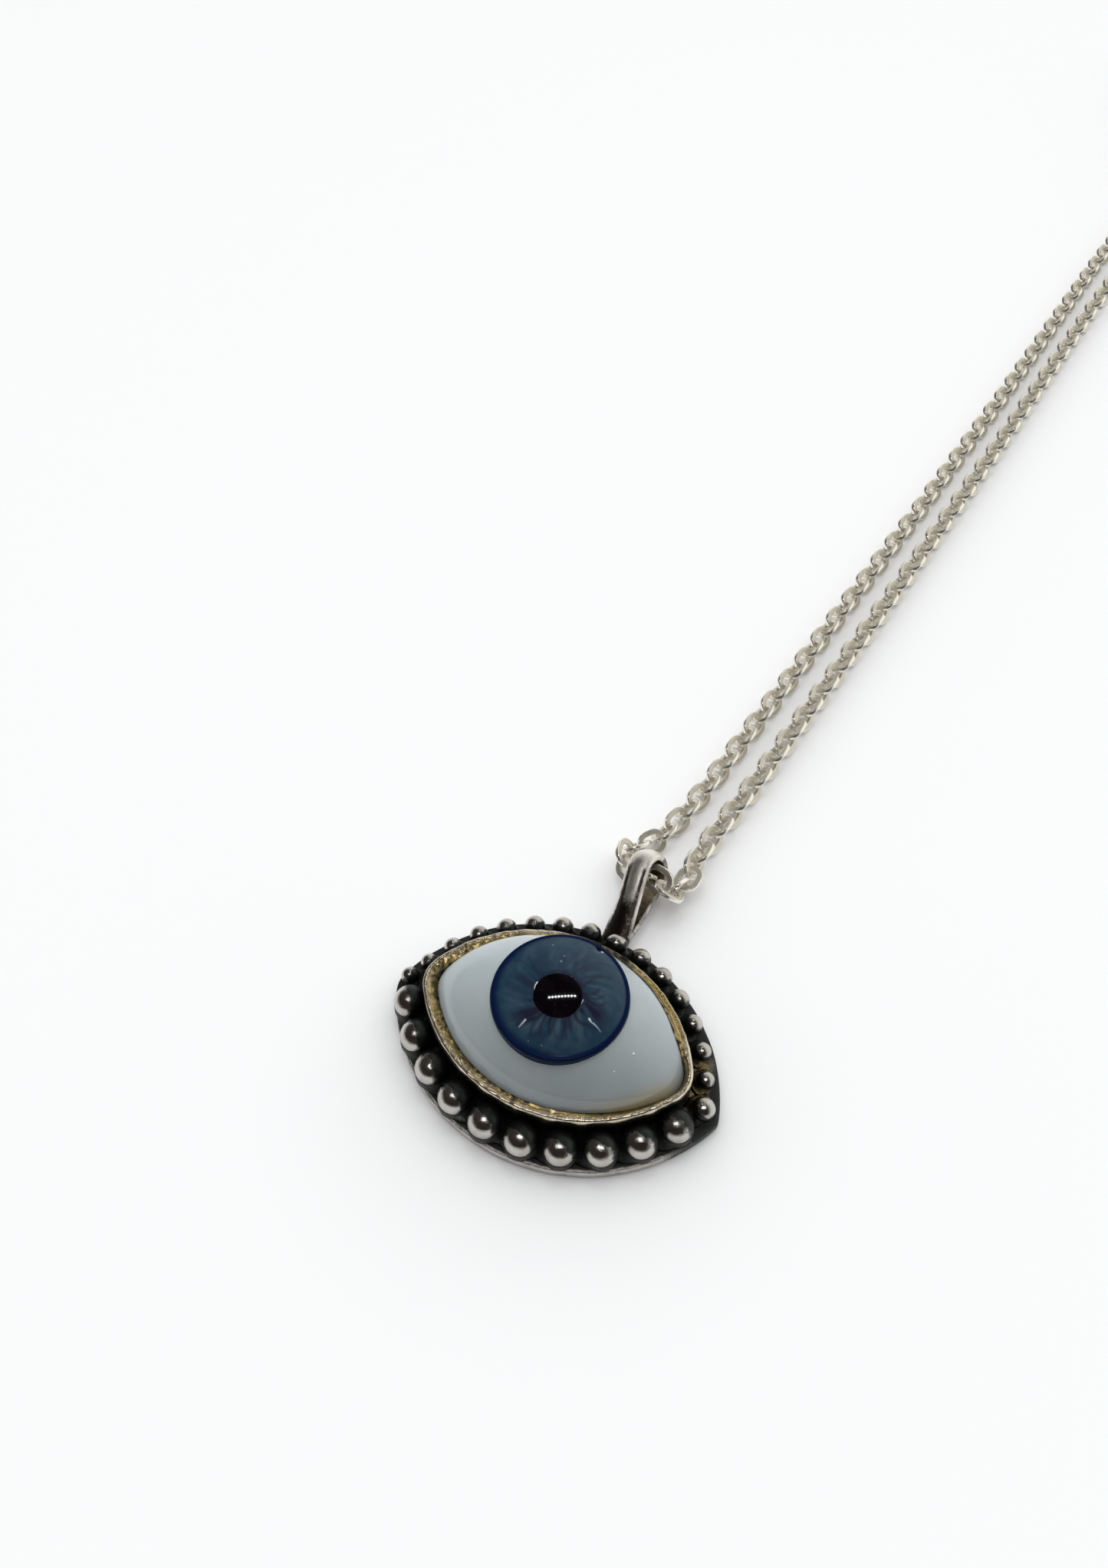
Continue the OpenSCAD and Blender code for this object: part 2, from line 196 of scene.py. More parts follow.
class Finish:
    """The finish of a metal or a glass, laid out as the nodes of a material."""

    def __init__(self, name):
        self.material = bpy.data.materials.new(name)
        self.material.use_nodes = True
        self.tree = self.material.node_tree
        self.skin = self.tree.nodes["Principled BSDF"]
        self.place = self.add("ShaderNodeTexCoord").outputs["Object"]

    def add(self, kind, **settings):
        node = self.tree.nodes.new(kind)
        for key, value in settings.items():
            setattr(node, key, value)
        return node

    def fill(self, sockets, values):
        """Give each socket a number, a colour or what another node puts out."""
        for socket, value in zip(sockets, values):
            if isinstance(value, bpy.types.NodeSocket):
                self.tree.links.new(value, socket)
            elif isinstance(value, tuple):
                socket.default_value = (*value, 1)[:len(socket.default_value)]
            else:
                socket.default_value = value

    def coat(self, settings):
        """Set the skin's own sockets by name."""
        self.fill([self.skin.inputs[name] for name in settings], settings.values())

    def painted(self, layer):
        return self.add("ShaderNodeAttribute", attribute_name=layer).outputs["Fac"]

    def speckle(self, size_mm, detail=3.0, rough=0.5, twist=0.0):
        texture = self.add("ShaderNodeTexNoise")
        names = ("Vector", "Scale", "Detail", "Roughness", "Distortion")
        self.fill(
            [texture.inputs[name] for name in names],
            (self.place, 1 / (size_mm * MM), detail, rough, twist))
        return texture.outputs["Fac"]

    def math(self, operation, *values, clamp=False):
        node = self.add("ShaderNodeMath", operation=operation, use_clamp=clamp)
        self.fill(node.inputs, values)
        return node.outputs[0]

    def swing(self, pattern, height):
        """A pattern of 0 to 1, scaled to a height and centred on zero."""
        return self.math("MULTIPLY_ADD", pattern, height, -height / 2)

    def spread(self, value, low, high, to_low=0.0, to_high=1.0):
        """Turn one range of a pattern smoothly into another."""
        node = self.add("ShaderNodeMapRange", interpolation_type="SMOOTHSTEP")
        names = ("Value", "From Min", "From Max", "To Min", "To Max")
        self.fill([node.inputs[name] for name in names], (value, low, high, to_low, to_high))
        return node.outputs["Result"]

    def blend(self, share, a, b):
        node = self.add("ShaderNodeMix", data_type="RGBA")
        self.fill((node.inputs["Factor"], node.inputs[MIX_A], node.inputs[MIX_B]), (share, a, b))
        return node.outputs[MIX_OUT]

    def bump(self, height, depth_mm, strength):
        node = self.add("ShaderNodeBump")
        self.fill(
            [node.inputs[name] for name in ("Height", "Distance", "Strength")],
            (height, depth_mm * MM, strength))
        self.coat({"Normal": node.outputs["Normal"]})


def worn_silver(name, polished, oxide, smooth, dull, gold, scratch_mm, depth_mm):
    """Blackened silver: the painted wear brings out the metal, the painted gold its tarnish."""
    silver = Finish(name)
    ragged = silver.math(
        "ADD", silver.swing(silver.speckle(PATCH_MM, detail=4, rough=0.65), 0.7),
        silver.swing(silver.speckle(RAGGED_MM, detail=3, rough=0.6), 0.35))
    wear = silver.spread(silver.math("ADD", silver.painted("wear"), ragged), 0.2, 0.8)
    golden = silver.spread(silver.math("ADD", silver.painted("gold"), ragged), 0.3, 0.9)
    stains = silver.spread(silver.speckle(STAIN_MM, detail=3), 0.45, 0.75, 0.0, 0.55)
    stained = tuple(STAIN_DARK * c * tint for c, tint in zip(polished, STAIN_TINT))
    metal = silver.blend(stains, silver.blend(golden, polished, gold), stained)
    silver.coat({
        "Base Color": silver.blend(wear, oxide, metal),
        "Roughness": silver.spread(wear, 0.0, 1.0, dull, smooth),
        "Metallic": 1.0})
    silver.bump(silver.speckle(scratch_mm, detail=5, rough=0.7), depth_mm, 0.6)
    return silver.material


plate_places = eye_stations(PLATE, PLATE_AROUND)
saw_marks = SAW_MARK * (1 + grain(ring_at(outline(plate_places, 0), 0.5), 2.2, 1))
plate_rings, plate_wear, plate_gold = [], [], []
for inset, z, wear in PLATE_PROFILE:
    near = outline(plate_places, np.minimum(inset, DRAWN_FROM) + saw_marks) + [PLATE_X, 0]
    ring = ring_at(near * (1 - np.clip((inset - DRAWN_FROM) / DRAWN_SPAN, 0, 1)), z)
    on_top = z == PLATE_T and inset > TOP_FROM
    if on_top:
        ring[:, 2] -= FACE_DINT * (1 + grain(ring, 0.9, 2)) * ease(TOP_FROM, 0.7, inset)
    rubbed = np.full(PLATE_AROUND, wear)
    if z > 0:
        patchy = 1 + PATCHY * grain(ring * [1, 1, 0.3], 1.5, 3)
        rubbed = wear * (RIM_WEAR + LOWER_RIM_WEAR * ease(*LOWER_LID_Y, ring[:, 1])) * patchy
    rubbed = rubbed * (1 - 0.5 * ease(*RIGHT_TIP_X, ring[:, 0])) - TOP_BLACK * on_top
    crust = ease(1.7, 0.5, from_crust(ring)) * (z == PLATE_T)
    plate_wear.append(np.maximum(rubbed, CRUST_WEAR * crust))
    plate_gold.append(CRUST_GOLD * crust)
    plate_rings.append(ring)
plate_metal = worn_silver(
    "blackened_plate", polished=(0.62, 0.59, 0.56), oxide=(0.055, 0.059, 0.054), smooth=0.24,
    dull=0.46, gold=(0.36, 0.29, 0.15), scratch_mm=0.25, depth_mm=0.12)
mesh_piece(
    "plate", np.concatenate(plate_rings), rings_faces(len(plate_rings), PLATE_AROUND),
    {"wear": plate_wear, "gold": plate_gold}, plate_metal, "setting")

# ---------------------------------------------------------------- The white of the eye
# Opal glass, lampworked and cut to a pointed oval. Two white dots stuck in its skin are
# painted highlights. It bulges out of the setting, and the bezel holds it round its edge.
# Painted shade darkens the glass towards the bezel, and painted warm light tints that edge
# at the lower right. Its glossy skin has a faint fire-polished wobble.
BEZEL = {"half": 12.4, "lower": 7.6, "upper": 8.8, "corner_y": -0.6, "left_r": 3.0, "right_r": 3.0}
GIRTH_R, ALONG_R, AXIS_Z = 8.4, 14.2, 0.4
GLASS_INSET, GLASS_ROUND, GLASS_BELLY_Z, GLASS_FOOT = 0.66, 0.75, 2.4, 1.11
# How far the glass stops short of the bezel's wall. Columns: direction from the middle in
# degrees, distance
SHORT_OF_WALL = [
    (-180, 0.68), (-150, 0.52), (-120, 0.32), (-90, 0.18), (-60, 0.18), (-35, 0.16), (-10, 0.12),
    (20, 0.06), (50, 0.02), (100, 0.0), (130, 0.1), (155, 0.42), (180, 0.68),
]
IRIS_AT, IRIS_R = np.array([0.1, 0.4]), 5.6
# The seat sunk for the iris: its floor, how much it is smaller, and its narrow inner lip
SEAT_Z, SEAT_TIGHT, SEAT_LIP = 6.2, 0.02, 0.02
# Rings of points stand closer together towards the bezel
GLASS_AROUND, GLASS_STEPS, GLASS_CROWDED, FIRE_WOBBLE = 400, 84, 1.6, 0.02
# The glass's own milky tones, then the painted shade by the bezel and the painted warm light
MILK, CLOUD, EDGE_SHADE_MILK, PAINTED_WARM_LIGHT = (
    (0.335, 0.377, 0.386), (0.355, 0.396, 0.402), (0.25, 0.275, 0.28), (0.42, 0.335, 0.17))
# The two white dots, painted highlights. Columns: x, y, radius
HIGHLIGHT_DOTS = [(7.2, -1.15, 0.085), (6.41, -3.06, 0.05)]
HIGHLIGHT_DOT_AROUND, HIGHLIGHT_DOT_RINGS, POLE_GAP = 12, 8, 0.15


def glass_height(xy):
    """Height of the white glass: an arc turned about the eye's long axis."""
    girth = GIRTH_R - ALONG_R + np.sqrt(ALONG_R**2 - xy[..., 0] ** 2)
    return AXIS_Z + np.sqrt(np.maximum(girth**2 - xy[..., 1] ** 2, 0.01))


def direction_of(xy):
    """Direction of each point from the middle, in degrees."""
    return np.degrees(np.arctan2(xy[:, 1], xy[:, 0]))


def short_of_wall(stations):
    return np.interp(direction_of(outline(stations, 0)), *np.array(SHORT_OF_WALL).T)


def spokes(count):
    """Flat directions, evenly spaced all round."""
    turn = np.linspace(0, 2 * np.pi, count, endpoint=False)
    return np.column_stack([np.cos(turn), np.sin(turn)])


def ball_skin(around, rings):
    """Directions from a ball's middle to its skin, from its top to its foot."""
    leans = math.pi * (np.arange(rings + 1) + POLE_GAP) / (rings + 2 * POLE_GAP)
    return np.concatenate([ring_at(math.sin(a) * spokes(around), math.cos(a)) for a in leans])


glass_places = eye_stations(BEZEL, GLASS_AROUND)
glass_short = short_of_wall(glass_places)
glass_edge = outline(glass_places, GLASS_INSET + glass_short)
toward = glass_edge - IRIS_AT
toward = toward / np.linalg.norm(toward, axis=1)[:, None]
seat_edge = IRIS_AT + (IRIS_R - SEAT_TIGHT) * toward
glass_rings = [
    ring_at(seat_edge * (1 - SEAT_LIP) + IRIS_AT * SEAT_LIP, SEAT_Z), ring_at(seat_edge, SEAT_Z)]
# Painted shade for each ring: none by the iris, most towards the bezel
glass_painted_shade = [0, 0]
for step in range(GLASS_STEPS + 1):
    share = 1 - (1 - step / GLASS_STEPS) ** GLASS_CROWDED
    xy = seat_edge + (glass_edge - seat_edge) * share
    skin = ring_at(xy, glass_height(xy))
    skin[:, 2] += FIRE_WOBBLE * grain(skin, 3.0, 5) * ease(0.0, 0.2, share) * ease(1.0, 0.8, share)
    past = np.clip(1 - np.linalg.norm(glass_edge - xy, axis=1) / GLASS_ROUND, 0, 1)
    skin[:, 2] -= GLASS_ROUND * (1 - np.sqrt(1 - past**2)) * ease(0.0, 0.3, glass_short)
    glass_rings.append(skin)
    glass_painted_shade.append(ease(0.72, 1.0, share))
for z in (GLASS_BELLY_Z, GLASS_FOOT):
    glass_rings.append(ring_at(glass_edge, z))
    glass_painted_shade.append(1.0)
glass_points = np.concatenate(glass_rings)
glass_edge_painted_shade = np.repeat(glass_painted_shade, GLASS_AROUND)
# Painted warm light, on the glass's edge towards the lower right
painted_warm_share = ease(3.0, 10.0, glass_points[:, 0]) * ease(1.0, -3.0, glass_points[:, 1])

opal = Finish("opal_glass")
milk = opal.blend(opal.spread(opal.speckle(3.5, detail=2), 0.3, 0.7), MILK, CLOUD)
# Painted shade darkens the glass towards the bezel
milk = opal.blend(opal.math("MULTIPLY", opal.painted("edge"), 0.35), milk, EDGE_SHADE_MILK)
# Painted warm light tints that edge at the lower right
milk = opal.blend(opal.math("MULTIPLY", opal.painted("warm_painted_light"), 0.85), milk, PAINTED_WARM_LIGHT)
opal.coat({
    "Base Color": milk, "Roughness": 0.07, "IOR": 1.5, "Subsurface Weight": 0.25,
    "Subsurface Radius": (1.0, 1.0, 1.0), "Subsurface Scale": 0.6 * MM})
mesh_piece(
    "white_glass", glass_points, rings_faces(len(glass_rings), GLASS_AROUND),
    {"edge": glass_edge_painted_shade, "warm_painted_light": glass_edge_painted_shade * painted_warm_share}, opal.material,
    "eye_white")

# Two white dots stuck in the glass's skin stand in for highlights: painted highlights
highlight_white = Finish("painted_highlight_white")
highlight_white.coat({
    "Base Color": highlight_white.blend(highlight_white.speckle(0.1, detail=2), (1.0, 1.0, 1.0), (0.95, 0.96, 0.97)),
    "Roughness": 0.3})
mesh_piece(
    "glass_painted_highlights",
    np.concatenate([
        [x, y, glass_height(np.array([x, y]))] + r * ball_skin(HIGHLIGHT_DOT_AROUND, HIGHLIGHT_DOT_RINGS)
        for x, y, r in HIGHLIGHT_DOTS]),
    rings_faces(HIGHLIGHT_DOT_RINGS + 1, HIGHLIGHT_DOT_AROUND, pieces=len(HIGHLIGHT_DOTS)), {}, highlight_white.material,
    "eye_white")

# ---------------------------------------------------------------- The bezel
# A strip of fine silver soldered upright on the plate and pushed over the glass by hand.
# Its lip is bright and a little hammered, its inner slope is tarnished gold, and the outer
# wall stays black. The lip is left wider at the left corner.
BEZEL_AROUND = 560
LIP_Z, LIP_ROUND, LIP_WIDTH, LIP_FROM = 4.2, 0.62, 0.75, 0.03
# Stretches of the lip, by direction from the middle in degrees: where each starts, is full,
# begins to fade and ends. It is lapped far over the glass at the upper right, thin along the
# top, patched with gold at the right, and rubbed brightest along the lower lid
LAPPED, THIN, PATCHED, LOWER = (
    (2, 20, 58, 78), (56, 70, 106, 120), (12, 22, 58, 66), (-165, -140, 5, 20))
LAP = 0.34
# Outer wall. Columns: height, wear
WALL_PROFILE = [(0.9, 0.0), (1.5, 0.02), (2.2, 0.08), (2.9, 0.2), (3.3, 0.32)]
# Lip. Columns: share of the way in from the outer wall to the glass, height below the crest as
# a share of the lip's round, wear, gold
LIP_PROFILE = [
    (0.00, 0.80, 0.10, 0.1), (0.02, 0.55, 0.25, 0.2), (0.07, 0.30, 0.60, 0.3),
    (0.15, 0.13, 0.95, 0.35), (0.22, 0.04, 1.15, 0.45), (0.34, 0.0, 1.2, 0.5),
    (0.48, 0.01, 1.15, 0.6), (0.62, 0.04, 1.0, 0.7),
]
SLOPE_STEPS, SLOPE_FIRST, SLOPE_HOLLOW = 7, 0.14, 1.5
# Depth of the hand work: dents and waves along the crest, unevenness of the wall and the
# lip, pits and hollows in the slope
DENT, WAVE, WALL_UNEVEN, LIP_UNEVEN, PIT, HOLLOW = 0.065, 0.04, 0.04, 0.05, 0.08, 0.06
# How far the slope's end reaches past the glass's edge and stands over the glass, and how
# far it dips under the crest, shallow and in the gutter
PAST_EDGE, OVER_GLASS, LAP_OVER_GLASS, DIP, GUTTER_DIP = 0.03, 0.12, 0.10, 0.04, 0.22
INNER_WALL, INNER_TOP_Z, BEZEL_FOOT = 0.6, 2.6, 0.9


def stretch(start, full, fading, end):
    """1 along a stretch of the lip, with a smooth start and end."""
    return ease(start, full, lip_turn) * ease(end, fading, lip_turn)


bezel_places = eye_stations(BEZEL, BEZEL_AROUND)
lip_xy = outline(bezel_places, 0.3)
lip_at, lip_turn = ring_at(lip_xy, LIP_Z), direction_of(lip_xy)
dents = grain(lip_at, 0.75, 11) + 0.4 * grain(lip_at, 0.35, 17)
waves = grain(lip_at, 2.4, 12)
thin, patched, lower = stretch(*THIN), stretch(*PATCHED), stretch(*LOWER)
left_end = ease(115, 150, np.abs(lip_turn))
lapped = LAP * stretch(*LAPPED) * (1 + 0.4 * waves)
gutter = short_of_wall(bezel_places)
gutter_deep = ease(0.1, 0.5, gutter)
# The slope ends on the glass, except where the gutter at the left is deep
reach = GLASS_INSET + PAST_EDGE + gutter + lapped
dip = DIP + GUTTER_DIP * gutter_deep
inner_z = glass_height(outline(bezel_places, reach)) - GLASS_ROUND * ease(0.0, 0.3, gutter)
inner_z += OVER_GLASS
inner_z = np.minimum(inner_z, LIP_Z - dip + (0.6 + dip) * ease(0.0, 0.1, lapped))
crest = LIP_Z - DENT * (1 + dents) - WAVE * (1 + waves)
bezel_rings, bezel_wear, bezel_gold = [], [], []


def bezel_ring(inset, z, wear, gold):
    bezel_rings.append(ring_at(outline(bezel_places, inset), z))
    bezel_wear.append(np.broadcast_to(wear, BEZEL_AROUND))
    bezel_gold.append(np.broadcast_to(gold, BEZEL_AROUND))


for z, wear in WALL_PROFILE:
    wall = ring_at(outline(bezel_places, 0), z)
    bezel_ring(0.05 + WALL_UNEVEN * grain(wall, 1.1, 13), z, wear + 0.1 * waves, 0.1)
for share, drop, wear, gold in LIP_PROFILE:
    outer = ease(0.3, 0.1, share)
    rubbed = wear * (1 - 0.75 * thin) * (1 - 0.3 * patched) + 0.3 * dents
    rubbed += lower * (0.35 * outer + 0.15) - 0.45 * left_end * outer
    bezel_ring(
        LIP_FROM + share * LIP_WIDTH + LIP_UNEVEN * dents * ease(0.0, 0.1, share),
        crest - drop * LIP_ROUND, rubbed, gold + 0.35 * patched)
slope_from = LIP_FROM + LIP_PROFILE[-1][0] * LIP_WIDTH
slope_z = crest - LIP_PROFILE[-1][1] * LIP_ROUND
for share in np.linspace(SLOPE_FIRST, 1, SLOPE_STEPS):
    inset = slope_from + (reach - slope_from) * share
    z = slope_z + (inner_z - slope_z) * share**SLOPE_HOLLOW
    over_glass = ease(0.01, 0.05, lapped) * ease(-0.08, 0.04, inset - GLASS_INSET - gutter)
    glass_z = glass_height(outline(bezel_places, inset)) + LAP_OVER_GLASS
    z = z + over_glass * np.maximum(glass_z - z, 0)
    crust = ring_at(outline(bezel_places, inset), z)
    pits = PIT * grain(crust, 0.3, 14) + HOLLOW * grain(crust, 0.8, 15)
    tarnished = 0.80 - 0.45 * share**2 + 0.6 * grain(crust, 0.45, 16)
    bezel_ring(
        inset, z + pits * gutter_deep * ease(0, 0.3, share), tarnished * (1 - 0.6 * thin),
        0.7 + 0.5 * share)
bezel_ring(reach + 0.02, inner_z - 0.2, 0.2, 1.0)
bezel_ring(INNER_WALL, np.minimum(inner_z - 0.5, INNER_TOP_Z), 0.1, 0.5)
bezel_ring(INNER_WALL, BEZEL_FOOT, 0.0, 0.0)
bezel_metal = worn_silver(
    "hand_pushed_bezel", polished=(0.82, 0.75, 0.60), oxide=(0.030, 0.027, 0.022), smooth=0.18,
    dull=0.42, gold=(0.42, 0.32, 0.13), scratch_mm=0.3, depth_mm=0.05)
mesh_piece(
    "bezel", np.concatenate(bezel_rings),
    rings_faces(len(bezel_rings), BEZEL_AROUND, closed_loop=True),
    {"wear": bezel_wear, "gold": bezel_gold}, bezel_metal, "setting")

# ---------------------------------------------------------------- The iris
# A button of blue glass let into the white, with a shallow fire-polished dome. Purple
# threads drawn out from the pupil lie under its surface, and its thick rim looks navy.
IRIS_RIM_Z, DOME_R, IRIS_FOOT, EDGE_R = 7.9, 20.0, 6.35, 0.22
IRIS_AROUND, IRIS_STEPS = 420, 110
# The pupil sits a little below the button's middle, and the blue runs in under it
PUPIL_R, PUPIL_LOW, PUPIL_UNDER = 1.9, 0.2, 0.35
# The navy skin of the side: how far it comes in over the dome, how deep it goes in there,
# and how proud it stands on the dome and on the side
NAVY_WIDE, NAVY_IN, NAVY_ON_DOME, NAVY_PROUD = 0.34, 0.12, 0.004, 0.005
# Threads in the glass, from the middle of the iris, and a dark mark in the nick at the upper
# right. Columns: x and y where it starts, bends and ends, half width, strength
THREADS = [
    (-1.4, 1.2, -1.7, 1.7, -2.0, 2.2, 0.20, 0.45),
    (-0.6, 1.8, -0.9, 2.6, -1.2, 3.5, 0.16, 0.35),
    (0.4, 1.9, 0.1, 2.7, -0.2, 3.7, 0.18, 0.55),
    (1.1, 1.5, 0.8, 2.7, 0.5, 4.1, 0.20, 0.45),
    (1.5, 1.2, 1.8, 2.0, 2.2, 2.7, 0.10, 0.70),
    (1.8, 0.6, 2.4, 0.9, 2.7, 1.6, 0.13, 0.85),
    (2.0, 0.5, 2.8, 0.7, 3.3, 1.3, 0.11, 0.70),
    (2.1, 0.3, 3.1, 0.2, 3.6, 0.7, 0.13, 0.90),
    (2.1, -0.2, 2.7, -0.1, 3.2, 0.1, 0.10, 0.70),
    (1.9, -0.7, 2.3, -0.4, 2.9, -0.6, 0.09, 0.55),
    (1.7, -0.9, 2.2, -1.6, 3.1, -1.6, 0.17, 1.00),
    (3.1, -1.6, 3.7, -1.6, 4.2, -1.4, 0.12, 0.55),
    (1.4, -1.5, 1.9, -2.2, 2.3, -2.7, 0.15, 0.85),
    (1.0, -1.8, 1.6, -2.7, 2.1, -3.3, 0.12, 0.80),
    (0.6, -2.0, 0.8, -2.9, 1.4, -3.6, 0.10, 0.60),
    (0.3, -2.0, 0.4, -2.8, 0.8, -3.5, 0.14, 0.95),
    (0.0, -2.0, -0.1, -3.1, 0.2, -3.9, 0.13, 0.95),
    (-0.3, -1.9, -0.7, -3.2, -0.5, -4.3, 0.13, 0.85),
    (-0.5, -1.9, -1.6, -2.6, -1.9, -3.9, 0.20, 1.00),
    (-0.9, -1.8, -1.3, -2.2, -1.8, -2.6, 0.16, 0.90),
    (-2.0, 0.0, -2.9, 0.2, -3.8, 0.0, 0.22, 0.25),
    (-1.9, -0.5, -2.8, -0.8, -3.6, -1.3, 0.28, 0.30),
    (-5.3, 0.6, -4.2, 1.2, -2.8, 0.7, 0.06, 0.45),
    (1.7, 3.8, 2.2, 3.9, 2.7, 4.1, 0.06, 0.60),
    (0.75, 5.15, 1.1, 5.1, 1.5, 5.0, 0.13, 1.00),
    (2.3, 4.85, 2.8, 4.75, 3.2, 4.45, 0.06, 0.55),
]
# Pale painted glints of light: two at the pupil's edge, three lines in the dome, one in the
# nick. Columns as above
GLINTS = [
    (-1.98, -0.05, -2.00, -0.45, -1.86, -0.80, 0.035, 1.0),
    (1.95, 0.10, 1.97, -0.10, 1.93, -0.30, 0.03, 0.6),
    (3.05, -1.10, 3.20, -1.20, 3.32, -1.28, 0.060, 0.9),
    (3.42, -1.26, 3.85, -1.40, 4.25, -1.58, 0.040, 0.6),
    (-1.45, -3.30, -1.55, -3.65, -1.66, -4.00, 0.050, 0.7),
    (1.42, 4.97, 1.48, 4.95, 1.55, 4.92, 0.045, 1.0),
]
# Seeds of air under the dome, each painted: a ring of painted shade round its wall and a
# painted glint in its middle. Columns: x, y, radius
SEEDS = [
    (-1.1, 2.5, 0.13), (-1.1, 3.1, 0.09), (-2.4, 3.7, 0.10), (0.6, -4.6, 0.08), (-0.5, -4.7, 0.06)]
SEED_WALL, SEED_SHADE, SEED_GLINT = 0.04, 0.5, 0.25
# A nick in the dome's edge at the upper right
NICK_X, NICK_Y, NICK_R, NICK_DEEP = 1.1, 5.1, 0.28, 0.15
STROKE_LEGS, THREAD_FAT, THREAD_UNEVEN, SWAY = 14, 1.45, 0.5, 0.05
# Fine folds that fan out from the pupil, turning a little on the way
FOLD_R, FOLD_TWIST, FOLD_MM = 2.6, 0.12, 0.42
BLUE_DEEP, BLUE_PALE, VIOLET_DRIFT, PETAL = (
    (0.011, 0.034, 0.058), (0.023, 0.048, 0.071), (0.022, 0.028, 0.060), (0.050, 0.082, 0.105))
THREAD_AND_SHADE, NAVY_RIM, GLINT = (0.012, 0.009, 0.022), (0.001, 0.006, 0.034), (0.75, 0.82, 0.85)
NAVY_DEEP, NAVY = (0.001, 0.006, 0.030), (0.001, 0.008, 0.038)
dome_z = IRIS_RIM_Z - math.sqrt(DOME_R**2 - IRIS_R**2)


def dome(r, sphere_r=DOME_R):
    """Height of the button's dome at a distance from its middle."""
    return dome_z + math.sqrt(sphere_r**2 - r * r)


def shoulder(leans, proud=0.0):
    """Rings of points over the dome's rounded edge: distance from its middle, and height."""
    top = dome(IRIS_R - EDGE_R) + proud
    return [
        (IRIS_R - EDGE_R + proud + EDGE_R * math.sin(a), top - EDGE_R * (1 - math.cos(a)))
        for a in map(math.radians, leans)]


def drawn(strokes, xy, wander):
    """How strongly the strokes colour each point: each is a bent line with a soft edge."""
    strength = np.zeros(len(xy))
    t = np.linspace(0, 1, STROKE_LEGS + 1)[:, None]
    for *ends, half_width, power in strokes:
        start, bend, end = np.array(ends).reshape(3, 2)
        path = (1 - t) * (1 - 2 * t) * start + 4 * t * (1 - t) * bend + t * (2 * t - 1) * end
        away, along = np.full(len(xy), 9.0), np.zeros(len(xy))
        for k in range(STROKE_LEGS):
            leg = path[k + 1] - path[k]
            u = np.clip((xy - path[k]) @ leg / (leg @ leg), 0, 1)
            d = np.linalg.norm(xy - path[k] - u[:, None] * leg, axis=1)
            along = np.where(d < away, (k + u) / STROKE_LEGS, along)
            away = np.minimum(away, d)
        width = half_width * (1.25 - 0.6 * along) * wander
        soft = power * (1 - 0.35 * along) * np.exp(-((away / width) ** 2))
        strength = np.maximum(strength, soft)
    return strength


iris_rings = [
    (r, dome(r)) for r in np.linspace(PUPIL_R - PUPIL_UNDER, IRIS_R - EDGE_R, IRIS_STEPS)]
iris_rings += shoulder(range(15, 91, 15))
iris_rings += [(IRIS_R, IRIS_FOOT), (PUPIL_R - PUPIL_UNDER, IRIS_FOOT)]
around = spokes(IRIS_AROUND)
iris_local = np.concatenate([ring_at(r * around, z) for r, z in iris_rings])
ix, iy = iris_local[:, 0], iris_local[:, 1]
iris_r, pupil_r = np.hypot(ix, iy), np.hypot(ix, iy + PUPIL_LOW)

wander = THREAD_FAT * (1 + THREAD_UNEVEN * grain(iris_local, 0.6, 21))
sway = SWAY * np.column_stack([grain(iris_local, 0.55, 22), grain(iris_local, 0.55, 23)])
iris_threads_and_shade = drawn(THREADS, iris_local[:, :2] + sway, wander)
iris_glints = drawn(GLINTS, iris_local[:, :2], 1.0)
lower_left = ease(-2.0, 4.0, -0.8 * ix - 0.6 * iy)
iris_rim = 0.9 * ease(IRIS_R - 0.5 - 0.45 * lower_left, IRIS_R - 0.3, iris_r)
iris_rim = np.maximum(iris_rim, ease(IRIS_RIM_Z + 0.05, IRIS_RIM_Z - 0.3, iris_local[:, 2]))
# Each seed: a ring of painted shade round its wall, and a painted glint in its middle
for x, y, r in SEEDS:
    away = np.hypot(ix - x, iy - y)
    wall = SEED_SHADE * np.exp(-(((away - r) / SEED_WALL) ** 2))
    iris_threads_and_shade = np.maximum(iris_threads_and_shade, wall)
    iris_glints = np.maximum(iris_glints, SEED_GLINT * np.exp(-((away / (0.6 * r)) ** 2)))
from_nick = np.hypot(ix - NICK_X, iy - NICK_Y)
on_dome = iris_local[:, 2] > IRIS_RIM_Z - 0.4
iris_local[:, 2] -= NICK_DEEP * np.exp(-((from_nick / NICK_R) ** 2)) * on_dome

fan = np.arctan2(iy, ix) + FOLD_TWIST * iris_r
fanned = np.column_stack([FOLD_R * np.cos(fan), FOLD_R * np.sin(fan), 0.10 * iris_r])
folds = grain(fanned, FOLD_MM, 26) + 0.12 * grain(iris_local, 0.8, 27)
lower_right = ease(-3.5, 2.5, 0.6 * ix - 0.8 * iy)
folded = ease(1.9, 2.3, iris_r) * ease(5.0, 3.2, iris_r) * (0.35 + 0.65 * lower_right)
by_pupil = 0.9 * ease(2.3, 1.95, pupil_r) * (0.7 + 0.5 * grain(iris_local, 0.5, 25))
iris_threads_and_shade = np.maximum.reduce([iris_threads_and_shade, ease(-0.02, 0.38, folds) * folded, by_pupil])
iris_petals = 0.62 * ease(0.0, -0.5, folds) * folded

blue = Finish("blue_glass")
body = blue.spread(blue.speckle(1.6, detail=4, rough=0.6, twist=0.8), 0.35, 0.7)
body = blue.blend(body, BLUE_DEEP, BLUE_PALE)
violet = blue.spread(blue.speckle(0.5, detail=4, rough=0.6), 0.5, 0.8, 0.0, 0.35)
body = blue.blend(violet, body, VIOLET_DRIFT)
body = blue.blend(blue.painted("petals"), body, PETAL)
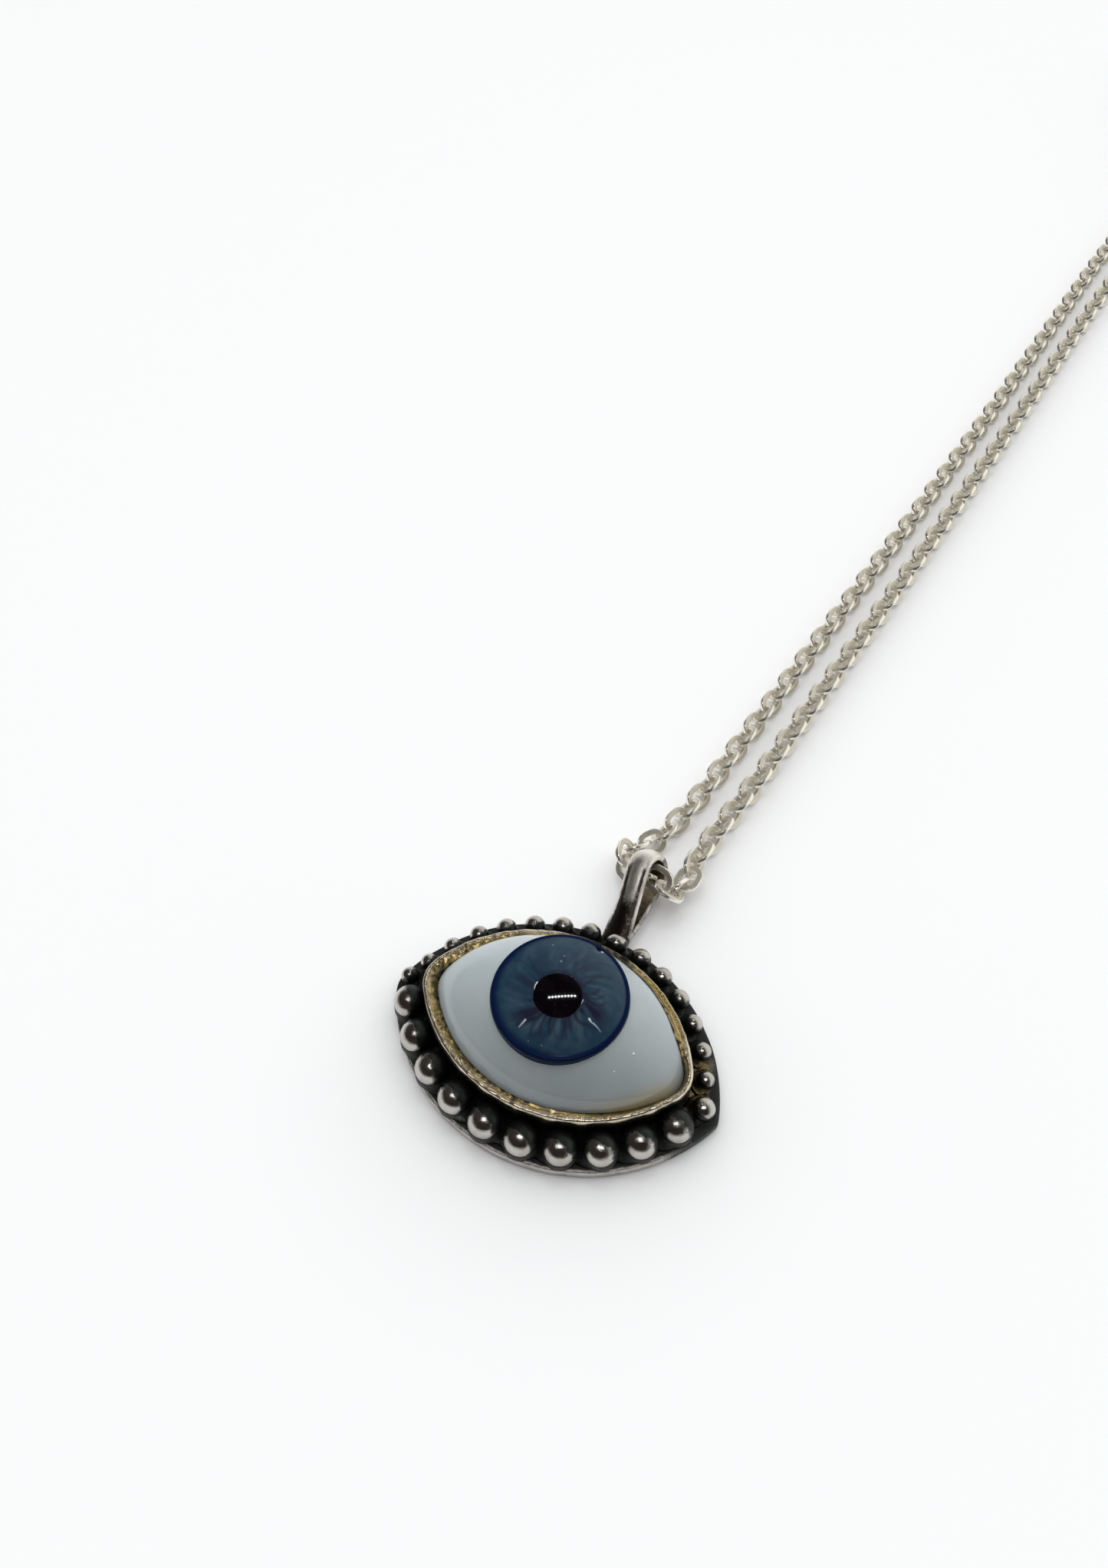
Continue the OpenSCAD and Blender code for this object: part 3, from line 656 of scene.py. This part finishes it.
# Purple threads and dark marks, with the painted shade round the seeds
body = blue.blend(
    blue.math("MULTIPLY", blue.painted("threads_and_shade"), 0.95, clamp=True), body, THREAD_AND_SHADE)
body = blue.blend(blue.painted("rim"), body, NAVY_RIM)
body = blue.blend(blue.painted("glints"), body, GLINT)
blue.coat({"Base Color": body, "Roughness": 0.05, "IOR": 1.5})
mesh_piece(
    "iris_button", iris_local + [*IRIS_AT, 0],
    rings_faces(len(iris_rings), IRIS_AROUND, closed_loop=True),
    {"threads_and_shade": iris_threads_and_shade, "petals": iris_petals, "rim": iris_rim, "glints": iris_glints},
    blue.material, "iris")

navy_in = IRIS_R - NAVY_WIDE
navy_rings = [(navy_in, dome(IRIS_R - EDGE_R) - NAVY_IN)]
navy_rings += [(r, dome(r) + NAVY_ON_DOME) for r in (navy_in, navy_in + 0.06)]
navy_rings += shoulder(range(5, 91, 12), NAVY_PROUD)
navy_rings += [(IRIS_R + NAVY_PROUD, IRIS_FOOT), (navy_in, IRIS_FOOT)]
navy = Finish("navy_side")
navy.coat({
    "Base Color": navy.blend(navy.speckle(0.8, detail=3), NAVY_DEEP, NAVY),
    "Roughness": 0.25, "Specular IOR Level": 0.05})
mesh_piece(
    "iris_side", np.concatenate([ring_at(r * around + IRIS_AT, z) for r, z in navy_rings]),
    rings_faces(len(navy_rings), IRIS_AROUND, closed_loop=True), {}, navy.material,
    "iris")

# ---------------------------------------------------------------- The pupil
# A rod of maroon glass, so dark that it looks black, melted into the middle of the iris.
# It stands a hair above it, and its rounded end throws back the lamp.
PUPIL_STEPS, PUPIL_AROUND = 26, 128
# Its end spreads over the blue, proud of the dome, and dips into it at its edge
PUPIL_WIDE, PUPIL_PROUD, PUPIL_DIP, PUPIL_DIP_WIDE = 2.12, 0.016, 0.030, 0.40
PUPIL_POLE, PUPIL_CROWDED = 0.02, 0.9
WINE_DARK, WINE, WINE_FLECK = (
    (0.0008, 0.0005, 0.0012), (0.0032, 0.0016, 0.0030), (0.015, 0.005, 0.008))
pupil_rings = [(PUPIL_R, IRIS_FOOT), (PUPIL_R, IRIS_RIM_Z)]
end_rs = [
    PUPIL_WIDE * math.cos(0.5 * math.pi * k / PUPIL_STEPS) ** PUPIL_CROWDED
    for k in range(PUPIL_STEPS)]
for r in [*end_rs, PUPIL_POLE]:
    dipped = PUPIL_DIP * float(ease(PUPIL_WIDE - PUPIL_DIP_WIDE, PUPIL_WIDE, r))
    pupil_rings.append((r, dome(r, DOME_R + PUPIL_PROUD - dipped)))
pupil_xy = IRIS_AT - [0, PUPIL_LOW]

maroon = Finish("maroon_glass")
wine = maroon.blend(maroon.spread(maroon.speckle(1.2, detail=2), 0.4, 0.7), WINE_DARK, WINE)
flecks = maroon.spread(maroon.speckle(0.35, detail=3, rough=0.6), 0.62, 0.72)
maroon.coat({
    "Base Color": maroon.blend(flecks, wine, WINE_FLECK), "Roughness": 0.04,
    "Specular IOR Level": 0.35, "IOR": 1.5})
mesh_piece(
    "pupil_rod",
    np.concatenate([ring_at(r * spokes(PUPIL_AROUND) + pupil_xy, z) for r, z in pupil_rings]),
    rings_faces(len(pupil_rings), PUPIL_AROUND), {}, maroon.material, "pupil")

# ---------------------------------------------------------------- The granules and their solder
# Silver scraps melted into balls and soldered to the rim, ten large ones along the lower lid
# and fourteen small ones along the upper lid, with one in each corner. The black stays on
# their inner side and in the solder at their feet; rubbing has brought up the outer side.
LOWER_ROW = {"count": 10, "first": -147, "last": -34.5, "end_d": 2.9, "mid_d": 2.9}
UPPER_ROW = {"count": 14, "first": 23.5, "last": 157.5, "end_d": 1.55, "mid_d": 1.95}
LOWER_INSET, UPPER_R, UPPER_Y = 1.5, 13.9, -4.05
# Columns: x, y, diameter
CORNERS = [(-13.7, -0.6, 1.6), (13.5, -0.9, 2.0)]
# How deep a granule sinks into its solder, and how much melting leaves it out of round
GRANULE_SINK, OUT_OF_ROUND, RIPPLE, SOLDER_LUMP = 0.25, 0.012, 0.006, 0.12
GRANULE_AROUND, GRANULE_RINGS = 40, 22
# The side that rubbing brings up, in the lower row and in the upper one
RUBBED_LOW, RUBBED_HIGH = np.array([-0.51, -0.81, 0.30]), np.array([-0.2, 0.1, 0.97])
UPPER_DULLER = 0.13
# Solder. Columns: distance from the granule's middle as a share of its radius, height as a
# share of the way from the plate to its middle
SOLDER_PROFILE = [
    (0.90, 0.85), (1.02, 0.60), (1.14, 0.34), (1.38, 0.13), (1.65, -0.04), (1.0, -0.06)]
# Outward the solder keeps short of the plate's edge, the more so under the small granules
SOLDER_SHORT, SOLDER_TUCKED = 0.97, 0.26


def along_lid(row, lid_r, lid_y):
    """Granules evenly spaced along a lid, the largest in its middle: x, y and diameter."""
    placed = []
    for share in np.arange(row["count"]) / (row["count"] - 1):
        a = math.radians(row["first"] + (row["last"] - row["first"]) * share)
        d = row["end_d"] + (row["mid_d"] - row["end_d"]) * math.sin(math.pi * share)
        placed.append((lid_r * math.cos(a), lid_y + lid_r * math.sin(a), d))
    return placed


low_r = lid_radius(PLATE["half"], PLATE["lower"])
low_y = PLATE["corner_y"] - PLATE["lower"] + low_r
balls = along_lid(LOWER_ROW, low_r - LOWER_INSET, low_y)
balls += along_lid(UPPER_ROW, UPPER_R, UPPER_Y) + CORNERS
way, spoke = ball_skin(GRANULE_AROUND, GRANULE_RINGS), spokes(GRANULE_AROUND)
ball_points, ball_wear, foot_points, foot_wear, foot_gold = [], [], [], [], []
for k, (x, y, d) in enumerate(balls):
    low = k < LOWER_ROW["count"]
    stands = d / 2 * (1 - GRANULE_SINK)
    out = np.array([x, y, 0]) / math.hypot(x, y)
    swell = 1 - OUT_OF_ROUND * (1 + grain(way, 0.8, 30 + k))
    swell -= RIPPLE * (1 + grain(way, 0.25, 70 + k))
    ball_points.append(way * (swell * d / 2)[:, None] + [x, y, PLATE_T + stands])
    rubbed = 0.4 * way @ out + 0.6 * way @ (RUBBED_LOW if low else RUBBED_HIGH)
    rubbed += 0.10 * grain(way, 0.7, 110 + k) + 0.14 * grain(way, 0.22, 150 + k)
    rubbed += 0.05 * grain(np.full(3, k + 0.5), 1.0, 9) - (0 if low else UPPER_DULLER)
    ball_wear.append(ease(0.02, 0.52, rubbed) * ease(-0.8, -0.5, way[:, 2]))
    outward = ease(-0.2, 0.7, spoke @ out[:2])
    for reach_out, height in SOLDER_PROFILE:
        lumps = grain(ring_at(spoke + [x, y], height), 0.5, 200 + k)
        share = reach_out + SOLDER_LUMP * lumps * ease(0.9, 1.1, reach_out)
        share = np.where(share > 1, 1 + (share - 1) * (1 - SOLDER_SHORT * outward), share)
        if not low:
            share = share * (1 - SOLDER_TUCKED * outward)
        ring = ring_at([x, y] + (share * d / 2)[:, None] * spoke, PLATE_T)
        ring[:, 2] += stands * (height + 0.07 * lumps * ease(0, 0.3, height))
        crust = ease(1.9, 0.6, from_crust(ring))
        foot_points.append(ring)
        foot_wear.append(np.maximum(0.10 + 0.35 * lumps, CRUST_WEAR * crust))
        foot_gold.append(CRUST_GOLD * crust)
granule_metal = worn_silver(
    "rubbed_granules", polished=(0.55, 0.53, 0.49), oxide=(0.040, 0.045, 0.042), smooth=0.14,
    dull=0.38, gold=(0.36, 0.30, 0.20), scratch_mm=0.22, depth_mm=0.035)
mesh_piece(
    "granules", np.concatenate(ball_points),
    rings_faces(GRANULE_RINGS + 1, GRANULE_AROUND, pieces=len(balls)),
    {"wear": ball_wear, "gold": np.full(np.shape(ball_wear), 0.15)}, granule_metal,
    "setting")
mesh_piece(
    "solder", np.concatenate(foot_points),
    rings_faces(len(SOLDER_PROFILE), GRANULE_AROUND, pieces=len(balls)),
    {"wear": foot_wear, "gold": foot_gold}, plate_metal, "setting")

# ---------------------------------------------------------------- The bail
# Half-round silver strip bent back on itself into a loop and soldered upright to the upper
# edge. It leans to the left. Its top is brushed bright, and the black deepens to its feet.
BAIL_X, BAIL_Y, BAIL_TURN, BAIL_TILT, BAIL_REACH = 1.3, 11.1, 4.0, 23.0, 6.0
BAIL_R, BAIL_T, BAIL_EDGE_T, BAIL_W = 2.3, 0.9, 0.55, 2.2
CROTCH_X, UPPER_FOOT, LOWER_FOOT = 0.4, 2.0, 1.6
EDGE_ROUND, EDGE_FLAT, EDGE_SOFT, CROWN_RUBBED = 0.12, 0.6, 0.035, 0.01
HAMMERED, BRUSHED = 0.035, 0.015
# The front foot spreads to the left, and both are filed flush with the plate's back
FOOT_SPREAD, SPREAD_FROM, FLUSH_Z = 0.55, 0.72, 0.02
STRAIGHT_STEPS, TURN_STEPS, CROWN_STEPS, HOLLOW_STEPS, HOLLOW_W = 22, 60, 17, 9, 0.7
# The top of the loop, and a worn spot inside its back, as steps along the strip
TOP_STEP, SPOT_STEP, SPOT_STEPS = 50, 80, 5


def way_at(angle):
    return np.array([math.cos(angle), math.sin(angle)])


# The strip's inner side, from the upper foot round the eye to the lower foot, and which way
# is outward
hole_r = BAIL_R - BAIL_T
eye, crotch = np.array([BAIL_REACH, BAIL_R]), np.array([CROTCH_X, PLATE_T])
rise = math.atan2(*(eye - crotch)[::-1])
wedge = math.asin(hole_r / np.linalg.norm(eye - crotch))
upper_out, lower_out = rise + math.pi / 2 + wedge, rise - math.pi / 2 - wedge
upper_foot = crotch - UPPER_FOOT * way_at(rise + wedge)
upper_end = eye + hole_r * way_at(upper_out)
lower_end = eye + hole_r * way_at(lower_out)
lower_foot = crotch - LOWER_FOOT * way_at(rise - wedge)
strip = [
    (upper_foot + (upper_end - upper_foot) * share, way_at(upper_out))
    for share in np.linspace(0, 1, STRAIGHT_STEPS)[:-1]]
strip += [
    (eye + hole_r * way_at(a), way_at(a)) for a in np.linspace(upper_out, lower_out, TURN_STEPS)]
strip += [
    (lower_end + (lower_foot - lower_end) * share, way_at(lower_out))
    for share in np.linspace(0, 1, STRAIGHT_STEPS)[1:]]
# Section of the strip: thickness outward, and place across its width
half_w, crown = BAIL_W / 2, BAIL_T - BAIL_EDGE_T
crown_r = (BAIL_W**2 / 4 + crown**2) / (2 * crown)
crowned = [
    (BAIL_T - crown_r + math.sqrt((crown_r - CROWN_RUBBED) ** 2 - w * w), w)
    for w in np.linspace(EDGE_ROUND - half_w, half_w - EDGE_ROUND, CROWN_STEPS)]
right_side = [
    (BAIL_EDGE_T - EDGE_ROUND * EDGE_FLAT * (1 - math.cos(a)),
     half_w - EDGE_ROUND + EDGE_ROUND * math.sin(a)) for a in map(math.radians, (30, 60, 90))]
right_side += [(0.35, half_w), (0.22, half_w), (EDGE_ROUND, half_w)]
right_side += [(EDGE_SOFT, half_w - EDGE_SOFT), (0.0, half_w - EDGE_ROUND)]
hollow = [(0.0, w) for w in np.linspace(HOLLOW_W, -HOLLOW_W, HOLLOW_STEPS)]
left_side = [(t, -w) for t, w in reversed(right_side)]
thick, wide = np.array(crowned + right_side + hollow + left_side).T
bail_place = np.array(
    Matrix.Translation((BAIL_X, BAIL_Y, half_w * math.sin(math.radians(BAIL_TILT))))
    @ Matrix.Rotation(math.radians(-BAIL_TURN), 4, "Z")
    @ Matrix.Rotation(math.radians(-BAIL_TILT), 4, "Y")
    @ Matrix.Rotation(math.radians(90), 4, "Z")
    @ Matrix.Rotation(math.radians(90), 4, "X"))
across = wide / half_w
inner = thick < 0.02
flank = (thick < BAIL_EDGE_T) & ~inner
leftward = ease(0.0, -half_w, wide)
# Wear of the crowned face: a bright stripe, the rubbed left edge, and brown to the right
stripe = 1.1 * ease(-0.5, -0.1, across) * ease(0.85, 0.5, across)
left_edge, brown = 0.65 * ease(-0.5, -0.8, across), 0.22 * ease(0.1, 0.5, across)
bail_rings, bail_wear = [], []
for k, (p, out) in enumerate(strip):
    climb = min(k / TOP_STEP, 1)
    spread = FOOT_SPREAD * ease(SPREAD_FROM, 1.0, 1 - climb)
    flat = np.column_stack([p + thick[:, None] * out, wide - spread * leftward])
    dint = HAMMERED * grain(flat, 1.1, 41) + BRUSHED * grain(flat, 0.4, 42)
    flat[:, :2] += (np.minimum(dint, 0.0) * (thick > 0.3))[:, None] * out
    ring = flat @ bail_place[:3, :3].T + bail_place[:3, 3]
    ring[:, 2] = np.maximum(ring[:, 2], FLUSH_Z)
    bail_rings.append(ring)
    face, side = 0.6, 0.5
    if k < TOP_STEP:
        face = np.maximum.reduce([
            np.full_like(across, ease(0.34, 0.56, climb)), stripe * ease(0.16, 0.38, climb),
            left_edge * ease(0.0, 0.2, climb), brown])
        side = 0.40 + 0.45 * ease(0.05, 0.35, climb)
    spot = math.exp(-(((k - SPOT_STEP) / SPOT_STEPS) ** 2))
    bail_wear.append(np.where(inner, 0.38 + 0.6 * spot, np.where(flank, side, face)))
bail_metal = worn_silver(
    "brushed_bail", polished=(0.86, 0.83, 0.76), oxide=(0.038, 0.030, 0.026), smooth=0.33,
    dull=0.30, gold=(0.44, 0.35, 0.22), scratch_mm=0.26, depth_mm=0.06)
mesh_piece(
    "bail", np.concatenate(bail_rings), rings_faces(len(bail_rings), len(wide)),
    {"wear": bail_wear, "gold": np.tile(np.where(inner, 0.8, 0.1), len(bail_rings))},
    bail_metal, "setting")

# ---------------------------------------------------------------- The chain
# Cable chain of flattened silver wire, closed into oval links that hang through each other.
# It is left bright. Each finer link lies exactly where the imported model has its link.
LINK_L, LINK_W, LINK_BAND, LINK_STEPS = 3.1, 2.45, 0.56, 12
# Half of the flattened wire's section. Columns: place across the band, height, polish
FLAT_WIRE = [
    (0.28, 0.0, 1.0), (0.28, 0.095, 1.0), (0.272, 0.145, 1.0), (0.250, 0.178, 1.0),
    (0.215, 0.190, 0.5), (0.10, 0.187, 0.0), (-0.10, 0.187, 0.0), (-0.215, 0.190, 0.5),
    (-0.250, 0.178, 1.0), (-0.272, 0.145, 1.0), (-0.28, 0.095, 1.0),
]
FLAT_WIRE += [(-across, -up, polish) for across, up, polish in FLAT_WIRE]
FLAT_BRIGHT, FLAT_HAZED, EDGE_BRIGHT = (0.68, 0.635, 0.54), (0.56, 0.515, 0.43), (0.92, 0.89, 0.80)
FLAT_DULL, EDGE_SMOOTH = 0.36, 0.14
SAME_SPOT = 1e-7
link_rings = []
for side in (1, -1):
    for a in np.linspace(-math.pi / 2, math.pi / 2, LINK_STEPS + 1):
        out = side * way_at(a)
        middle = [side * (LINK_L - LINK_W) / 2, 0] + (LINK_W - LINK_BAND) / 2 * out
        link_rings.append([(*(middle + across * out), up) for across, up, _ in FLAT_WIRE])
link_points = np.concatenate(link_rings)
link_polish = [polish for _, _, polish in FLAT_WIRE] * len(link_rings)


def links_of(node):
    """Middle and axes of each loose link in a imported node, its long axis first."""
    cad = bmesh.new()
    cad.from_mesh(frame["nodes"][node].data)
    bmesh.ops.remove_doubles(cad, verts=cad.verts, dist=SAME_SPOT)
    cad.verts.ensure_lookup_table()
    seen, found = set(), []
    for start in cad.verts:
        if start.index in seen:
            continue
        seen.add(start.index)
        waiting, island = [start], []
        while waiting:
            vert = waiting.pop()
            island.append(tuple(vert.co))
            for edge in vert.link_edges:
                other = edge.other_vert(vert)
                if other.index not in seen:
                    seen.add(other.index)
                    waiting.append(other)
        spots = np.array(island) / MM
        _, axes = np.linalg.eigh(np.cov((spots - spots.mean(0)).T))
        axes = axes[:, ::-1]
        axes[:, 2] = np.cross(axes[:, 0], axes[:, 1])
        inside = spots @ axes
        found.append(((inside.min(0) + inside.max(0)) / 2 @ axes.T, axes))
    cad.free()
    return found


wire = Finish("bright_silver_wire")
haze = wire.speckle(0.9, detail=3, rough=0.6)
flats = wire.blend(wire.spread(haze, 0.4, 0.75), FLAT_BRIGHT, FLAT_HAZED)
wire.coat({
    "Base Color": wire.blend(wire.painted("polish"), flats, EDGE_BRIGHT),
    "Roughness": wire.spread(wire.painted("polish"), 0.0, 1.0, FLAT_DULL, EDGE_SMOOTH),
    "Metallic": 0.85})
wire.bump(haze, 0.004, 0.3)
for node in ("chain_left", "chain_right"):
    links = links_of(node)
    mesh_piece(
        node + "_links", np.concatenate([link_points @ axes.T + middle for middle, axes in links]),
        rings_faces(len(link_rings), len(FLAT_WIRE), closed_loop=True, pieces=len(links)),
        {"polish": link_polish * len(links)}, wire.material, node)

# ---------------------------------------------------------------- The clasp
# A plain ring with a small loop, out of sight at the far end of the chain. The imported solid
# has its shape, so it only takes the chain's silver.
clasp_skins = frame["nodes"]["clasp"].data.materials
for index in range(len(clasp_skins)):
    clasp_skins[index] = wire.material

# ---------------------------------------------------------------- The table and the light
# The necklace lies on plain white board in soft light, brighter from the far left. Polished
# faces mirror a pale wall on that side and a dark room on the other, with a row of bulbs and
# a ceiling light.
FLOOR_HALF, BOARD_WHITE = 3.0, (0.92, 0.92, 0.92)
UP = Vector((0, 0, 1))
# The camera stands as for the photograph
CAMERA_AT = Vector((0.0190, -0.04016, 0.09644))
CAMERA_HEADING, CAMERA_PITCH = Vector((-0.4322, 0.9018, 0)).normalized(), math.radians(53.42)
SENSOR, LENS, NEAR, FAR = 36, 36 * 1600 / 2044, 0.005, 20
# Light all round, as matt faces and as polished faces meet it. Each: the way it brightens
# towards, where along that way it starts and ends, and its two colours
SOFT = (-0.375, 0.906, -0.199), (-0.76, 0.1), ((0.0, 0.0, 0.0), (1.68, 1.69, 1.70))
MIRRORED = (0.35, 0.75, -0.56), (-0.15, 0.40), ((0.036, 0.029, 0.027), (0.95, 0.95, 0.92))
BACKDROP = (0.93, 0.93, 0.93)
BULBS, BULB_R, BULB_GAP, BULB_WATTS = 9, 0.0055, 0.0155, 0.014
ROW_MIDDLE, ROW_ALONG = Vector((-0.094, 0.236, 0.552)), Vector((0.197, 0.111, -0.015)).normalized()
CEILING_WAY, CEILING_FAR, CEILING_SIZE = Vector((0.05, -0.2, 0.975)), 0.6, (0.26, 0.10)
CEILING_WATTS = 0.6
collection = bpy.context.scene.collection.objects

floor_mesh = bpy.data.meshes.new("white_board")
floor_mesh.from_pydata(
    [(FLOOR_HALF * x, FLOOR_HALF * y, 0) for x, y in ((-1, -1), (1, -1), (1, 1), (-1, 1))],
    [], [(0, 1, 2, 3)])
floor = bpy.data.objects.new("white_board", floor_mesh)
collection.link(floor)
board = Finish("white_board")
board.coat({"Base Color": BOARD_WHITE, "Roughness": 0.6, "Specular IOR Level": 0.2})
floor_mesh.materials.append(board.material)

look = CAMERA_HEADING * math.cos(CAMERA_PITCH) - UP * math.sin(CAMERA_PITCH)
right = look.cross(UP).normalized()
camera_data = bpy.data.cameras.new("camera")
camera_data.sensor_width, camera_data.lens = SENSOR, LENS
camera_data.clip_start, camera_data.clip_end = NEAR, FAR
camera = bpy.data.objects.new("camera", camera_data)
camera_turn = Matrix((right, right.cross(look), -look)).transposed().to_4x4()
camera.matrix_world = Matrix.Translation(CAMERA_AT) @ camera_turn
collection.link(camera)
bpy.context.scene.camera = camera

world = bpy.context.scene.world or bpy.data.worlds.new("studio")
bpy.context.scene.world = world
world.use_nodes = True
tree = world.node_tree
tree.nodes.clear()
put = tree.nodes.new
direction = put("ShaderNodeTexCoord").outputs["Generated"]
ray = put("ShaderNodeLightPath").outputs


def mixed(share, *colours):
    """Light between two others, each a colour or what another node puts out."""
    mix = put("ShaderNodeMix")
    mix.data_type = "RGBA"
    tree.links.new(share, mix.inputs["Factor"])
    for index, colour in zip((MIX_A, MIX_B), colours):
        if isinstance(colour, tuple):
            mix.inputs[index].default_value = (*colour, 1)
        else:
            tree.links.new(colour, mix.inputs[index])
    return mix.outputs[MIX_OUT]


def studio(towards, ends, colours):
    """Light that goes from one colour to another as a direction turns towards a way."""
    turned = put("ShaderNodeVectorMath")
    turned.operation = "DOT_PRODUCT"
    turned.inputs[1].default_value = towards
    tree.links.new(direction, turned.inputs[0])
    share = put("ShaderNodeMapRange")
    share.inputs["From Min"].default_value, share.inputs["From Max"].default_value = ends
    tree.links.new(turned.outputs["Value"], share.inputs["Value"])
    return mixed(share.outputs["Result"], *colours)


# Straight behind the necklace the room is a plain pale backdrop
room = mixed(ray["Is Glossy Ray"], studio(*SOFT), studio(*MIRRORED))
background = put("ShaderNodeBackground")
tree.links.new(mixed(ray["Is Camera Ray"], room, BACKDROP), background.inputs["Color"])
tree.links.new(background.outputs[0], put("ShaderNodeOutputWorld").inputs["Surface"])


def lamp(name, shape, size, watts, place):
    lamp_data = bpy.data.lights.new(name, "AREA")
    lamp_data.shape, lamp_data.energy = shape, watts
    lamp_data.size, lamp_data.size_y = size
    hung = bpy.data.objects.new(name, lamp_data)
    hung.matrix_world = place
    collection.link(hung)
    return hung


# The row of bulbs hangs beyond the necklace and above it, and each looks at it
for k in range(BULBS):
    hangs = ROW_MIDDLE + ROW_ALONG * BULB_GAP * (k - (BULBS - 1) / 2)
    facing = (-hangs).to_track_quat("-Z", "Y").to_matrix().to_4x4()
    lamp(f"bulb_{k}", "DISK", (2 * BULB_R, 2 * BULB_R), BULB_WATTS,
         Matrix.Translation(hangs) @ facing)
# The ceiling light stands nearly overhead. It shows in polished faces, and lights no matt one
ceiling_turn = Matrix((right, UP.cross(right), UP)).transposed().to_4x4()
ceiling = lamp(
    "ceiling_light", "RECTANGLE", CEILING_SIZE, CEILING_WATTS,
    Matrix.Translation(CEILING_WAY * CEILING_FAR) @ ceiling_turn)
ceiling.visible_diffuse = False
bpy.context.scene.view_settings.view_transform = "Standard"
